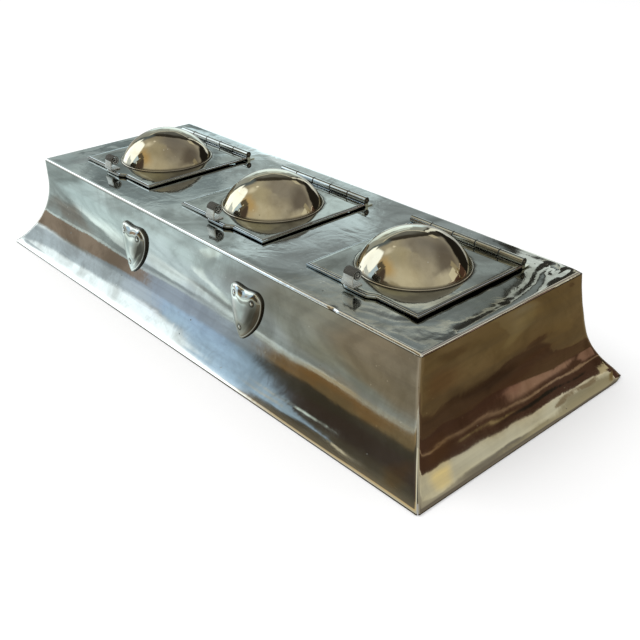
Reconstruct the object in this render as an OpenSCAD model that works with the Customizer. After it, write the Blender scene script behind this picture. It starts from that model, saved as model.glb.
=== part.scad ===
// Desk inkstand in silver-plated sheet: a mitred case whose sides curve out to a wide foot,
// with three wells in its top, each under a square hinged lid with a domed cap.
// Millimetres, +Z up, X along the length, the front at -Y.
// The origin is on the desk, under the middle of the case.

/* [Case] */
// Length of the top
top_len = 300; // [280:1:400]
// Depth of the top, front to back
top_dep = 103; // [98:1:140]
// Height of the top above the desk
case_h = 54.4; // [50:0.2:80]
// Height at which the upright sides begin to curve out
cove_h = 42; // [36:0.5:46]
// How far the foot stands out beyond the top, on each side
flare = 19; // [8:0.5:26]
// Thickness of the sheet in the four sides
wall_t = 1.2; // [0.8:0.1:2]
// Thickness of the top plate
top_t = 1.2; // [0.8:0.1:2]

/* [Base] */
// Thickness of the plate that closes the case underneath
base_t = 1; // [0.8:0.1:2]
// Thickness of the baize pad under that plate
pad_t = 1.2; // [0.8:0.1:2]
// How far the pad stays inside the edge of the base plate
pad_margin = 1.5; // [1:0.5:8]

/* [Wells] */
// Distance from each end of the top to the middle of the nearest well
end_room = 52; // [48:0.5:58]
// Radius inside each well socket
well_r = 22; // [18:0.5:23]
// Depth of a socket below the top, down to its floor
socket_depth = 43; // [30:0.5:44]
// Thickness of the socket's sheet
socket_t = 0.8; // [0.6:0.1:1.2]
// Thickness of the socket's flange, which lies on the top plate
flange_t = 0.6; // [0.5:0.1:1.2]
// How far the flange reaches beyond the socket's wall
flange_w = 5; // [3:0.5:7]

/* [Ink pots] */
// Wall of an ink pot
pot_t = 2.2; // [1.5:0.1:4]
// Floor of an ink pot
pot_floor_t = 3; // [2:0.1:6]
// How far the pot's rim lies below the face of the flange
pot_drop = 0.2; // [0.1:0.1:6]
// Radius of the hollow corner at the foot of a pot's bore
pot_corner = 6; // [2:0.5:6]

/* [Lids] */
// Width of a lid plate
lid_w = 67; // [62:0.5:76]
// Thickness of a lid plate
lid_t = 0.9; // [0.7:0.1:1.6]
// Distance from the middle of a well to the front edge of its lid
lid_front = 33.5; // [30:0.5:38]
// Width of the thumb tab's straight front
tab_flat = 11; // [8:0.5:20]
// Width of each curved flank of the tab
tab_flank = 5.5; // [3:0.5:9]
// How far the tab stands out from the lid's front edge
tab_out = 2.4; // [1:0.1:5]
// Radius of the dome where it meets the lid plate
dome_r = 25.8; // [24.5:0.1:27]
// Height of the dome above the lid plate
dome_h = 16.7; // [10:0.1:22]
// Thickness of the dome's sheet
dome_t = 0.9; // [0.6:0.1:1.2]
// Radius of the half-round bead at the foot of the dome
bead_r = 0.5; // [0.4:0.1:1.2]

/* [Thumb scrolls] */
// Width of a thumb scroll
scroll_w = 6; // [4:0.5:10]
// Distance from the middle of the lid to the middle of its scroll
scroll_off = -4; // [-6:0.5:6]
// Thickness of the scroll's strip
scroll_t = 0.6; // [0.5:0.1:1]
// Outer radius of the rolled part
roll_r = 2.1; // [1.8:0.1:3]
// Height of the roll's middle above the lid plate
roll_rise = 4.7; // [4:0.1:8]
// Air between one turn of the roll and the next
roll_air = 0.5; // [0.2:0.05:0.6]
// How far the front of the scroll stands beyond the lid's front edge
scroll_lead = 1.9; // [0.5:0.1:2.2]

/* [Hinges] */
// Distance from the middle of a well back to the hinge axis
hinge_y = 34.6; // [33:0.1:38]
// Outer radius of the hinge barrel
barrel_r = 1.7; // [1.2:0.05:2]
// How far the barrel sinks into the upper face of the lid plate
barrel_sink = 0.25; // [0.1:0.05:0.5]
// Radius of the hinge pin
pin_r = 0.6; // [0.4:0.05:0.8]
// How far barrel, pin and bearer stay inside each side of their lid
barrel_inset = 0; // [0:0.5:6]
// Gap between one knuckle and the next
knuckle_gap = 0.15; // [0.1:0.05:0.4]
// Thickness of the bearer strip that carries the fixed knuckles
bearer_t = 0.5; // [0.4:0.1:1]
// How far the bearer strip reaches behind the hinge axis
bearer_back = 4; // [2:0.5:8]

/* [Hearts] */
// Distance from the middle of one heart to the middle of the other
heart_pitch = 97; // [60:0.5:140]
// How far the pair of hearts stands off the middle of the front
heart_shift = -3; // [-10:0.5:10]
// Width of a heart
heart_w = 23.2; // [16:0.1:30]
// Height of a heart, from its point to the top of its lobes
heart_h = 24; // [18:0.5:28]
// Height of the top of the lobes above the desk
heart_top = 42.3; // [36:0.1:46]
// Thickness of a heart at its edge
heart_edge = 1.2; // [0.6:0.1:2]
// How much further the middle of a heart swells out
heart_crown = 2.3; // [1:0.1:4]
// Depth of the dip between the lobes
heart_dip = 0.6; // [0.3:0.1:3]

/* [Fits] */
// Gap round a socket in the hole of the top plate
hole_ease = 0.2; // [0.1:0.05:0.5]
// Gap round a pot in its socket
pot_ease = 0.3; // [0.2:0.05:0.6]
// Gap between a closed lid and what it lies over, the flange or the bearer strip
lid_rest = 0.3; // [0.2:0.05:0.5]
// Running gap between a pin and its knuckles
pin_ease = 0.05; // [0.02:0.01:0.1]
// Gap between a lid plate and the fixed knuckles
relief = 0.4; // [0.3:0.05:0.8]
// Thickness of a soldered seam
solder = 0.02; // [0.01:0.01:0.05]
// Gap between the base plate and the sides
base_ease = 0.1; // [0.05:0.05:0.3]

/* [Hidden] */

// Colours of the finishes
silver = [0.78, 0.78, 0.76];
warm_silver = [0.74, 0.70, 0.62];
gilt = [0.80, 0.72, 0.52];
steel = [0.60, 0.60, 0.62];
glass = [0.80, 0.88, 0.86, 0.6];
baize = [0.16, 0.27, 0.18];

// Smoothness of the round parts
fine = 96;
coarse = 48;
// Margin by which a cutting shape passes the face that it cuts
cut = 1;

// Radius of the cove: it leaves the upright side smoothly and ends at the foot
cove_r = (cove_h * cove_h + flare * flare) / (2 * flare);
// Distance of a cove face from the upright side, on the circle of radius r about the cove's middle
function cove_reach(z, r) = cove_r - sqrt(r * r - pow(cove_h - z, 2));
function outer_reach(z) = z >= cove_h ? 0 : cove_reach(z, cove_r);
function inner_reach(z) = cove_reach(z, cove_r + wall_t);

// Where each well, lid and hinge stands
well_pitch = top_len / 2 - end_room;
well_x = [-well_pitch, 0, well_pitch];
// Upper face of the base plate, which meets the cove from inside
base_top = pad_t + base_t;
base_len = top_len + 2 * (inner_reach(base_top) - base_ease);
base_dep = top_dep + 2 * (inner_reach(base_top) - base_ease);

// Hole in the top plate and outer radius of the flange round it
hole_r = well_r + socket_t + hole_ease;
flange_r = well_r + socket_t + flange_w;
flange_top = case_h + flange_t;
socket_floor = case_h - socket_depth;
pot_r = well_r - pot_ease;
pot_top = flange_top - pot_drop;
pot_bore_r = pot_r - pot_t;

// Faces of a closed lid plate, and the sphere that its dome is a cap of
lid_low = case_h + max(flange_t, bearer_t) + lid_rest;
lid_top = lid_low + lid_t;
ball_r = (dome_r * dome_r + dome_h * dome_h) / (2 * dome_h);
ball_z = lid_top + dome_h - ball_r;
mouth_r = sqrt(pow(ball_r - dome_t, 2) - pow(ball_r - dome_h, 2));

// Hinge axis above the desk, and the knuckles along it
axis_z = lid_top + barrel_r - barrel_sink;
barrel_len = lid_w - 2 * barrel_inset;
knuckles = 5;
knuckle_len = (barrel_len - (knuckles - 1) * knuckle_gap) / knuckles;
fixed_knuckles = [for (k = [0:2:knuckles - 1]) k];
lid_knuckle_places = [for (k = [1:2:knuckles - 1]) k];
// Half width of the saddle under a fixed knuckle
saddle_half = 0.6 * barrel_r;
// Height of the saddle's shoulders below the hinge axis
saddle_drop = 0.7 * barrel_r;
// How far saddles and tongues stay inside the ends of their knuckles
end_ease = 0.2;

// Outline of a heart: where its lobes and its middle lie
lobe_x = 0.6 * heart_w / 2;
lobe_r = heart_w / 2 - lobe_x;
lobe_z = heart_top - lobe_r;
heart_tip = heart_top - heart_h;
heart_mid = heart_top - 0.42 * heart_h;
// Steps along the dip, the lobe and the side of half a heart, and rings across its crown
dip_steps = 4;
lobe_steps = 6;
side_steps = 10;
crown_rings = 5;
// Fullness of a heart's sides
side_power = 0.78;

// One side of the case, standing at +Y: an upright strip above a concave quarter
module side_panel(run, reach) {
    intersection() {
        translate([-run / 2 - flare - cut, reach, 0]) rotate([90, 0, 90])
            linear_extrude(height = run + 2 * (flare + cut)) side_profile();
        linear_extrude(height = case_h) mitre_plan(run, reach);
    }
}

// Section of a side: x is the distance outward from its upright face
module side_profile() {
    translate([-wall_t, cove_h]) square([wall_t, case_h - top_t - cove_h]);
    intersection() {
        difference() {
            translate([cove_r, cove_h]) circle(r = cove_r + wall_t, $fn = 2 * fine);
            translate([cove_r, cove_h]) circle(r = cove_r, $fn = 2 * fine);
        }
        translate([-wall_t, 0]) square([wall_t + flare, cove_h]);
    }
}

// Plan of a side between its two mitres, which run out at 45 degrees
module mitre_plan(run, reach) {
    low = reach - 2 * wall_t;
    high = reach + flare + cut;
    polygon([for (p = [[-1, low], [1, low], [1, high], [-1, high]])
        [p[0] * (run / 2 + p[1] - reach), p[1]]]);
}

module front_panel() { color(silver) mirror([0, 1, 0]) side_panel(top_len, top_dep / 2); }
module rear_panel() { color(silver) side_panel(top_len, top_dep / 2); }
module left_panel() { color(silver) rotate([0, 0, 90]) side_panel(top_dep, top_len / 2); }
module right_panel() { color(warm_silver) rotate([0, 0, -90]) side_panel(top_dep, top_len / 2); }

// The top lies on the four sides and has a hole for each socket
module top_plate() {
    color(silver) difference() {
        translate([-top_len / 2, -top_dep / 2, case_h - top_t]) cube([top_len, top_dep, top_t]);
        for (x = well_x)
            translate([x, 0, case_h - top_t - cut]) cylinder(r = hole_r, h = top_t + 2 * cut, $fn = fine);
    }
}

module base_plate() {
    color(steel) translate([-base_len / 2, -base_dep / 2, pad_t]) cube([base_len, base_dep, base_t]);
}

// The pad's lower face and the edge of the foot both rest on the desk
module baize_pad() {
    color(baize) translate([-base_len / 2 + pad_margin, -base_dep / 2 + pad_margin, 0])
        cube([base_len - 2 * pad_margin, base_dep - 2 * pad_margin, pad_t]);
}

// Right half of a heart's outline about x = 0, from the dip down to the point
function heart_half() = concat(
    [for (i = [0:dip_steps - 1]) let (s = i / dip_steps)
        [lobe_x * s, heart_top - heart_dip * (1 + cos(180 * s)) / 2]],
    [for (i = [0:lobe_steps - 1]) let (a = 90 - 90 * i / lobe_steps)
        [lobe_x + lobe_r * cos(a), lobe_z + lobe_r * sin(a)]],
    [for (i = [0:side_steps]) let (s = i / side_steps)
        [heart_w / 2 * pow(1 - s * s, side_power), lobe_z * (1 - s) + heart_tip * s]]);
// The whole outline, clockwise as seen from the front
function heart_outline() = let (half = heart_half(), last = len(half) - 1)
    concat(half, [for (i = [last - 1:-1:1]) [-half[i][0], half[i][1]]]);
// A ring of points: the outline drawn in to the share s, lifted off the cove by h
function heart_ring(x, s, h) = [for (p = heart_outline())
    let (z = heart_mid + s * (p[1] - heart_mid))
        [x + s * p[0], -top_dep / 2 - outer_reach(z) - h, z]];

// A swelling heart that lies against the front and follows its curve
module heart(x) {
    n = len(heart_outline());
    back = [for (k = [0:crown_rings - 1]) cos(90 * (crown_rings - 1 - k) / crown_rings)];
    front = [for (k = [0:crown_rings - 1]) cos(90 * k / crown_rings)];
    rings = concat(
        [for (s = back) heart_ring(x, s, 0)],
        [for (s = front) heart_ring(x, s, heart_edge + heart_crown * sqrt(1 - s * s))]);
    m = len(rings);
    poles = [[x, -top_dep / 2 - outer_reach(heart_mid), heart_mid],
        [x, -top_dep / 2 - outer_reach(heart_mid) - heart_edge - heart_crown, heart_mid]];
    points = concat([for (r = rings) for (p = r) p], poles);
    bands = [for (k = [0:m - 2]) for (i = [0:n - 1]) let (j = (i + 1) % n)
        each [[k * n + i, k * n + j, (k + 1) * n + j], [k * n + i, (k + 1) * n + j, (k + 1) * n + i]]];
    caps = [for (i = [0:n - 1]) let (j = (i + 1) % n)
        each [[m * n, j, i], [m * n + 1, (m - 1) * n + i, (m - 1) * n + j]]];
    polyhedron(points, concat(bands, caps));
}

module heart_left() { color(silver) heart(heart_shift - heart_pitch / 2); }
module heart_right() { color(silver) heart(heart_shift + heart_pitch / 2); }

// A cup that drops through the top plate and hangs by its flange
module well_socket(i) {
    color(steel) translate([well_x[i], 0, 0]) difference() {
        union() {
            translate([0, 0, case_h]) cylinder(r = flange_r, h = flange_t, $fn = fine);
            translate([0, 0, socket_floor - socket_t])
                cylinder(r = well_r + socket_t, h = flange_top - socket_floor + socket_t, $fn = fine);
        }
        translate([0, 0, socket_floor])
            cylinder(r = well_r, h = socket_depth + flange_t + cut, $fn = fine);
    }
}

// A glass liner that stands on the floor of its socket
module ink_pot(i) {
    color(glass) translate([well_x[i], 0, 0]) difference() {
        translate([0, 0, socket_floor]) cylinder(r = pot_r, h = pot_top - socket_floor, $fn = fine);
        translate([0, 0, socket_floor + pot_floor_t]) rotate_extrude($fn = fine) pot_bore();
    }
}

// Half section of a pot's bore, with a hollow corner at its foot
module pot_bore() {
    deep = pot_top - socket_floor;
    square([pot_bore_r - pot_corner, deep]);
    translate([0, pot_corner]) square([pot_bore_r, deep]);
    translate([pot_bore_r - pot_corner, pot_corner]) circle(r = pot_corner, $fn = coarse);
}

// Lower end of a knuckle, counted from the left end of the barrel
function knuckle_x(k) = -barrel_len / 2 + k * (knuckle_len + knuckle_gap);

// A round bar of radius r along the hinge axis
module along_axis(x, r, length) {
    translate([x, hinge_y, axis_z]) rotate([0, 90, 0]) cylinder(r = r, h = length, $fn = coarse);
}

module knuckle_tubes(i, places) {
    translate([well_x[i], 0, 0]) difference() {
        for (k = places) along_axis(knuckle_x(k), barrel_r, knuckle_len);
        along_axis(-barrel_len / 2 - cut, pin_r + pin_ease, barrel_len + 2 * cut);
    }
}

module hinge_knuckles(i) { color(gilt) knuckle_tubes(i, fixed_knuckles); }
module lid_knuckles(i) { color(gilt) knuckle_tubes(i, lid_knuckle_places); }
module hinge_pin(i) {
    color(steel) translate([well_x[i], 0, 0]) along_axis(-barrel_len / 2, pin_r, barrel_len);
}

// The strip behind the lid, with a saddle under each fixed knuckle
module hinge_bearer(i) {
    color(silver) translate([well_x[i], 0, 0]) difference() {
        union() {
            translate([-barrel_len / 2, hinge_y - saddle_half, case_h])
                cube([barrel_len, saddle_half + bearer_back, bearer_t]);
            for (k = fixed_knuckles)
                translate([knuckle_x(k) + end_ease, hinge_y - saddle_half, case_h])
                    cube([knuckle_len - 2 * end_ease, 2 * saddle_half, axis_z - saddle_drop - case_h]);
        }
        along_axis(-barrel_len / 2 - cut, barrel_r + solder, barrel_len + 2 * cut);
    }
}

// The square plate, cut back at the fixed knuckles and reaching under its own
module lid_plate(i) {
    color(silver) translate([well_x[i], 0, 0]) difference() {
        translate([0, 0, lid_low]) linear_extrude(height = lid_t) lid_plan();
        translate([0, 0, lid_low - cut]) cylinder(r = mouth_r, h = lid_t + 2 * cut, $fn = fine);
        along_axis(-lid_w / 2 - cut, barrel_r + solder, lid_w + 2 * cut);
    }
}

module lid_plan() {
    back = hinge_y - barrel_r - relief;
    translate([-lid_w / 2, -lid_front]) square([lid_w, lid_front + back]);
    for (k = lid_knuckle_places)
        translate([knuckle_x(k) + end_ease, 0]) square([knuckle_len - 2 * end_ease, hinge_y]);
    translate([0, -lid_front]) polygon(tab_outline());
}

// Outline of the thumb tab: a straight front between two curved flanks
tab_steps = 8;
function tab_flank_side(side) = [for (i = [0:tab_steps])
    [side * (tab_flat / 2 + tab_flank * i / tab_steps), -tab_out * (1 + cos(180 * i / tab_steps)) / 2]];
function tab_outline() = let (right = tab_flank_side(1), left = tab_flank_side(-1))
    concat([for (i = [tab_steps:-1:0]) left[i]], right,
        [[tab_flat / 2 + tab_flank, cut], [-tab_flat / 2 - tab_flank, cut]]);

// The hollow cap over the lid plate's hole, with a half-round bead at its foot
module lid_dome(i) {
    color(warm_silver) translate([well_x[i], 0, 0]) rotate_extrude($fn = fine) dome_section();
}

module dome_section() {
    intersection() {
        union() {
            difference() {
                translate([0, ball_z]) circle(r = ball_r, $fn = 2 * fine);
                translate([0, ball_z]) circle(r = ball_r - dome_t, $fn = 2 * fine);
            }
            translate([dome_r, lid_top]) circle(r = bead_r, $fn = coarse);
        }
        translate([0, lid_top]) square([dome_r + bead_r + cut, dome_h + cut]);
    }
}

// Place of the roll's middle, measured forward and up from the middle of the lid plate
roll_y = -lid_front - scroll_lead + roll_r;
roll_turn = 380;
roll_steps = 38;
// Radius of the roll's outer face after it has turned by the angle a
function roll_at(a) = roll_r - (scroll_t + roll_air) * a / 360;
function roll_face(inset) = [for (i = [0:roll_steps]) let (a = roll_turn * i / roll_steps)
    (roll_at(a) - inset) * [-cos(a), sin(a)]];

// A strip that stands on the tab and rolls over towards the dome
module thumb_scroll(i) {
    color(gilt) translate([well_x[i] + scroll_off - scroll_w / 2, roll_y, lid_top])
        rotate([90, 0, 90]) linear_extrude(height = scroll_w) scroll_section();
}

module scroll_section() {
    outer = roll_face(0);
    inner = roll_face(scroll_t);
    polygon(concat([[roll_r, 0], [-roll_r, 0]],
        [for (p = outer) p + [0, roll_rise]],
        [for (i = [roll_steps:-1:0]) inner[i] + [0, roll_rise]],
        [[scroll_t - roll_r, scroll_t], [roll_r, scroll_t]]));
}

front_panel();
rear_panel();
left_panel();
right_panel();
top_plate();
base_plate();
baize_pad();
heart_left();
heart_right();
well_socket(0);  // well_socket_1
well_socket(1);  // well_socket_2
well_socket(2);  // well_socket_3
ink_pot(0);  // ink_pot_1
ink_pot(1);  // ink_pot_2
ink_pot(2);  // ink_pot_3
hinge_bearer(0);  // hinge_bearer_1
hinge_bearer(1);  // hinge_bearer_2
hinge_bearer(2);  // hinge_bearer_3
hinge_knuckles(0);  // hinge_knuckles_1
hinge_knuckles(1);  // hinge_knuckles_2
hinge_knuckles(2);  // hinge_knuckles_3
hinge_pin(0);  // hinge_pin_1
hinge_pin(1);  // hinge_pin_2
hinge_pin(2);  // hinge_pin_3
lid_plate(0);  // lid_plate_1
lid_plate(1);  // lid_plate_2
lid_plate(2);  // lid_plate_3
lid_dome(0);  // lid_dome_1
lid_dome(1);  // lid_dome_2
lid_dome(2);  // lid_dome_3
lid_knuckles(0);  // lid_knuckles_1
lid_knuckles(1);  // lid_knuckles_2
lid_knuckles(2);  // lid_knuckles_3
thumb_scroll(0);  // thumb_scroll_1
thumb_scroll(1);  // thumb_scroll_2
thumb_scroll(2);  // thumb_scroll_3
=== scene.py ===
"""Looks of a desk inkstand in polished silver plate: its sheets, lids, finishes, studio and camera."""

import logging
import math
from dataclasses import dataclass, field
from enum import Enum
from functools import reduce
from typing import Callable, Iterable, Sequence

import bpy
from mathutils import Matrix, Vector, noise

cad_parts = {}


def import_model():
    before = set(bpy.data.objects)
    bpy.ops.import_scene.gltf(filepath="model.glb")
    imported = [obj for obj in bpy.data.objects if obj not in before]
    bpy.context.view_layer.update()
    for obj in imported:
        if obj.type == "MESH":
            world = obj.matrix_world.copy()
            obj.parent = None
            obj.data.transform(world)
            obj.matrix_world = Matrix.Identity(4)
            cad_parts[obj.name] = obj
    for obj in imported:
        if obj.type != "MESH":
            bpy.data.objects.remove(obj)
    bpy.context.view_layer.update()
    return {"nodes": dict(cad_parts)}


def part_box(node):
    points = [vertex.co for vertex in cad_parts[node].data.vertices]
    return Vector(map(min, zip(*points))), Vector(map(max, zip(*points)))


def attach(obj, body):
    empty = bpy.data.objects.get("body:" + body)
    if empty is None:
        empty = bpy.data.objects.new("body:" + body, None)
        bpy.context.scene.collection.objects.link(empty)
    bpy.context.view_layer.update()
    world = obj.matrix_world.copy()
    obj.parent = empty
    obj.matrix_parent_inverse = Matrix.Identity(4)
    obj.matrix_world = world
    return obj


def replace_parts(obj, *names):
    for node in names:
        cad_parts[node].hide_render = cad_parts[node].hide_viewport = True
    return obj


LOG = logging.getLogger("inkstand")
MM = 0.001

CLOUD_WAVES = 26.0
# Near-black colour of the dark marks: dirt, and painted shade in joints, gaps, recesses and at the foot.
DIRT_AND_SHADE = (0.045, 0.04, 0.032)
PIT = (0.10, 0.08, 0.05)
PIT_DEPTH = 0.03
PIT_DOTS = (210.0, 60.0, (0.55, 0.68))
SPECK_DOTS = (230.0, 85.0, (0.5, 0.6))
DOT_REACH = (0.10, 0.05)
RIM_WEAR_AND_HIGHLIGHT_SHARE, DIRT_AND_SHADE_SHARE, PIT_SHARE = 0.85, 0.9, 0.75
WORN_LINE = (0.29, 0.285, 0.27)
FLOOR_TONE = (0.62, 0.63, 0.60)
STREAK_TONE = (0.35, 0.35, 0.35)
CLOTH_TONES = ((0.42, 0.395, 0.335), (0.52, 0.49, 0.42))

Point = tuple[float, float, float]
Flat = tuple[float, float]
Colour = tuple[float, float, float]
Piece = bpy.types.Object
Material = bpy.types.Material


def arithmetic(operation: str, turned: bool = False) -> Callable[["Signal", "Value"], "Signal"]:
    """Makes the method behind one arithmetic sign.

    Args:
        operation: Blender's name of the operation.
        turned: Whether the signal stands to the right of the sign.

    Returns:
        The method.
    """

    def method(self: "Signal", other: "Value") -> "Signal":
        """Adds the Math node of the sign."""
        return self.math(operation, other, self) if turned else self.math(operation, self, other)

    return method


class Signal:
    """A shader socket that adds Math nodes when it is used in an expression."""

    def __init__(self, paint: "Paint", socket: bpy.types.NodeSocket) -> None:
        """Wraps one output socket of the paint's node tree."""
        self.paint = paint
        self.socket = socket

    def math(self, operation: str, first: "Value", second: "Value" = 0.0) -> "Signal":
        """Adds one Math node on two values or signals."""
        return self.paint.node("ShaderNodeMath", {"operation": operation}, {0: first, 1: second})

    __add__, __radd__ = arithmetic("ADD"), arithmetic("ADD", True)
    __sub__, __rsub__ = arithmetic("SUBTRACT"), arithmetic("SUBTRACT", True)
    __mul__, __rmul__ = arithmetic("MULTIPLY"), arithmetic("MULTIPLY", True)
    __truediv__, __pow__ = arithmetic("DIVIDE"), arithmetic("POWER")
    least, most = arithmetic("MINIMUM"), arithmetic("MAXIMUM")

    def clamped(self) -> "Signal":
        """This, kept between 0 and 1."""
        return self.most(0.0).least(1.0)

    def step(self, low: float, high: float) -> "Signal":
        """Goes smoothly from 0 at low to 1 at high, or down if low is the larger."""
        ends = {1: low, 2: high, 3: 0.0, 4: 1.0} if low <= high else {1: high, 2: low, 3: 1.0, 4: 0.0}
        return self.paint.node("ShaderNodeMapRange", {"interpolation_type": "SMOOTHSTEP"}, {0: self, **ends})


Value = float | Signal


class Paint:
    """Builds the nodes of one material or world."""

    def __init__(self, tree: bpy.types.NodeTree) -> None:
        """Starts on an emptied node tree."""
        self.tree = tree
        tree.nodes.clear()

    def node(
        self,
        kind: str,
        settings: dict[str, object] | None = None,
        inputs: dict[int | str, object] | None = None,
        output: int | str = 0,
    ) -> Signal:
        """Adds a node.

        Args:
            kind: Blender's type name of the node.
            settings: Properties that are set first.
            inputs: Values or signals by socket name or number.
            output: Name or number of the output that is returned.

        Returns:
            The chosen output.
        """
        made = self.tree.nodes.new(kind)
        for key, value in (settings or {}).items():
            setattr(made, key, value)
        for key, value in (inputs or {}).items():
            self._feed(made.inputs[key], value)
        return Signal(self, made.outputs[output])

    def _feed(self, socket: bpy.types.NodeSocket, value: object) -> None:
        """Links a signal to a socket, or sets the socket's own value.

        Args:
            socket: The socket.
            value: Signal, number, colour or vector.
        """
        if isinstance(value, Signal):
            self.tree.links.new(value.socket, socket)
        elif isinstance(value, tuple) and socket.type == "RGBA":
            socket.default_value = (*value[:3], 1.0)
        else:
            socket.default_value = value

    def place(self) -> Signal:
        """Position on the piece at rest, in metres."""
        return self.node("ShaderNodeTexCoord", output="Object")

    def axes(self, vector: Signal) -> tuple[Signal, Signal, Signal]:
        """The three coordinates of a vector."""
        split = self.node("ShaderNodeSeparateXYZ", {}, {0: vector}).socket.node
        return tuple(Signal(self, socket) for socket in split.outputs)

    def vector(
        self, operation: str, first: object, second: object = (0.0, 0.0, 0.0), output: int | str = 0
    ) -> Signal:
        """A Vector Math node on two vectors; its output "Value" is a plain number."""
        return self.node("ShaderNodeVectorMath", {"operation": operation}, {0: first, 1: second}, output)

    def noise(
        self, place: Signal, scale: float, detail: float = 4.0, rough: float = 0.55, swirl: float = 0.0
    ) -> Signal:
        """Fractal noise from 0 to 1, with waves per unit of the position and wisps drawn by the swirl."""
        inputs = {"Vector": place, "Scale": scale, "Detail": detail, "Roughness": rough, "Distortion": swirl}
        return self.node("ShaderNodeTexNoise", {"noise_dimensions": "3D"}, inputs)

    def drift(self, place: Signal, scale: float, detail: float, reach: Point) -> Signal:
        """Vector that wanders about zero by up to half the reach, to bend the borders of a pattern."""
        warp = self.node(
            "ShaderNodeTexNoise", {}, {"Vector": place, "Scale": scale, "Detail": detail}, "Color"
        )
        return self.vector("MULTIPLY", self.vector("SUBTRACT", warp, (0.5, 0.5, 0.5)), reach)

    def cells(self, place: Signal, scale: float) -> Signal:
        """Distance to the nearest of many scattered points, in units of their spacing."""
        inputs = {"Vector": place, "Scale": scale}
        return self.node("ShaderNodeTexVoronoi", {"feature": "F1"}, inputs, "Distance")

    def mix(self, share: Value, first: object, second: object, blend: str = "MIX") -> Signal:
        """Mixes two colours or signals; the share is how much of the second is taken."""
        settings = {"data_type": "RGBA", "blend_type": blend}
        return self.node("ShaderNodeMix", settings, {0: share, 6: first, 7: second}, 2)

    def mark(self, name: str) -> Signal:
        """A wear mark that the mesh stores at its points."""
        return self.node("ShaderNodeAttribute", {"attribute_name": name}, output="Fac")

    def bump(self, height: Signal, depth: float, normal: Signal | None = None) -> Signal:
        """Tilts the shading normal by a height from 0 to 1 that stands for a real depth.

        Args:
            height: Height signal.
            depth: Depth in metres that a height of 1 stands for.
            normal: Normal from an earlier bump.

        Returns:
            The new normal.
        """
        inputs = {"Height": height, "Distance": depth, "Strength": 1.0}
        if normal is not None:
            inputs["Normal"] = normal
        return self.node("ShaderNodeBump", {}, inputs)

    def surface(self, **sockets: object) -> None:
        """Ends the material in a Principled shader; the names of sockets are written with underscores."""
        inputs = {key.replace("_", " "): value for key, value in sockets.items()}
        self.node_output(self.node("ShaderNodeBsdfPrincipled", {}, inputs))

    def node_output(self, shader: Signal) -> None:
        """Ends a material in the given shader."""
        end = self.tree.nodes.new("ShaderNodeOutputMaterial")
        self.tree.links.new(shader.socket, end.inputs["Surface"])


def new_material(name: str) -> tuple[Material, Paint]:
    """Makes a material.

    Args:
        name: Its name.

    Returns:
        The material and the builder of its nodes.
    """
    made = bpy.data.materials.new(name)
    made.use_nodes = True
    return made, Paint(made.node_tree)


@dataclass(frozen=True)
class Finish:
    """A material of the stand; each kind lays its own nodes.

    Attributes:
        name: Name of the material.
    """

    name: str

    def material(self) -> Material:
        """Makes the material.

        Returns:
            The new material.
        """
        made, paint = new_material(self.name)
        self.lay(paint, paint.place())
        return made

    def lay(self, paint: Paint, place: Signal) -> None:
        """Lays the nodes that follow the position on the piece."""
        raise NotImplementedError


class Grain(Enum):
    """Direction of the fine scratches that polishing leaves."""

    ALONG_X = (18.0, 1500.0, 1500.0)
    ALONG_Y = (1500.0, 18.0, 1500.0)
    ROUND = (260.0, 260.0, 90.0)
    NONE = (400.0, 400.0, 400.0)


@dataclass(frozen=True)
class Bloom:
    """A soft patch of another tone in the plate, used for tarnish and for painted reflections, highlights and
    shade.

    Attributes:
        centre: Middle of the patch, in mm.
        reach: Half sizes along the three axes, in mm.
        tone: Colour in the middle of the patch.
        share: How much of that colour the middle takes.
    """

    centre: Point
    reach: Point
    tone: Colour
    share: float = 0.8


def blooms(*rows: tuple[float, ...]) -> tuple[Bloom, ...]:
    """Patches from rows of ten numbers: middle, half sizes, colour and share."""
    return tuple(Bloom(row[:3], row[3:6], row[6:9], row[9]) for row in rows)


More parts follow.
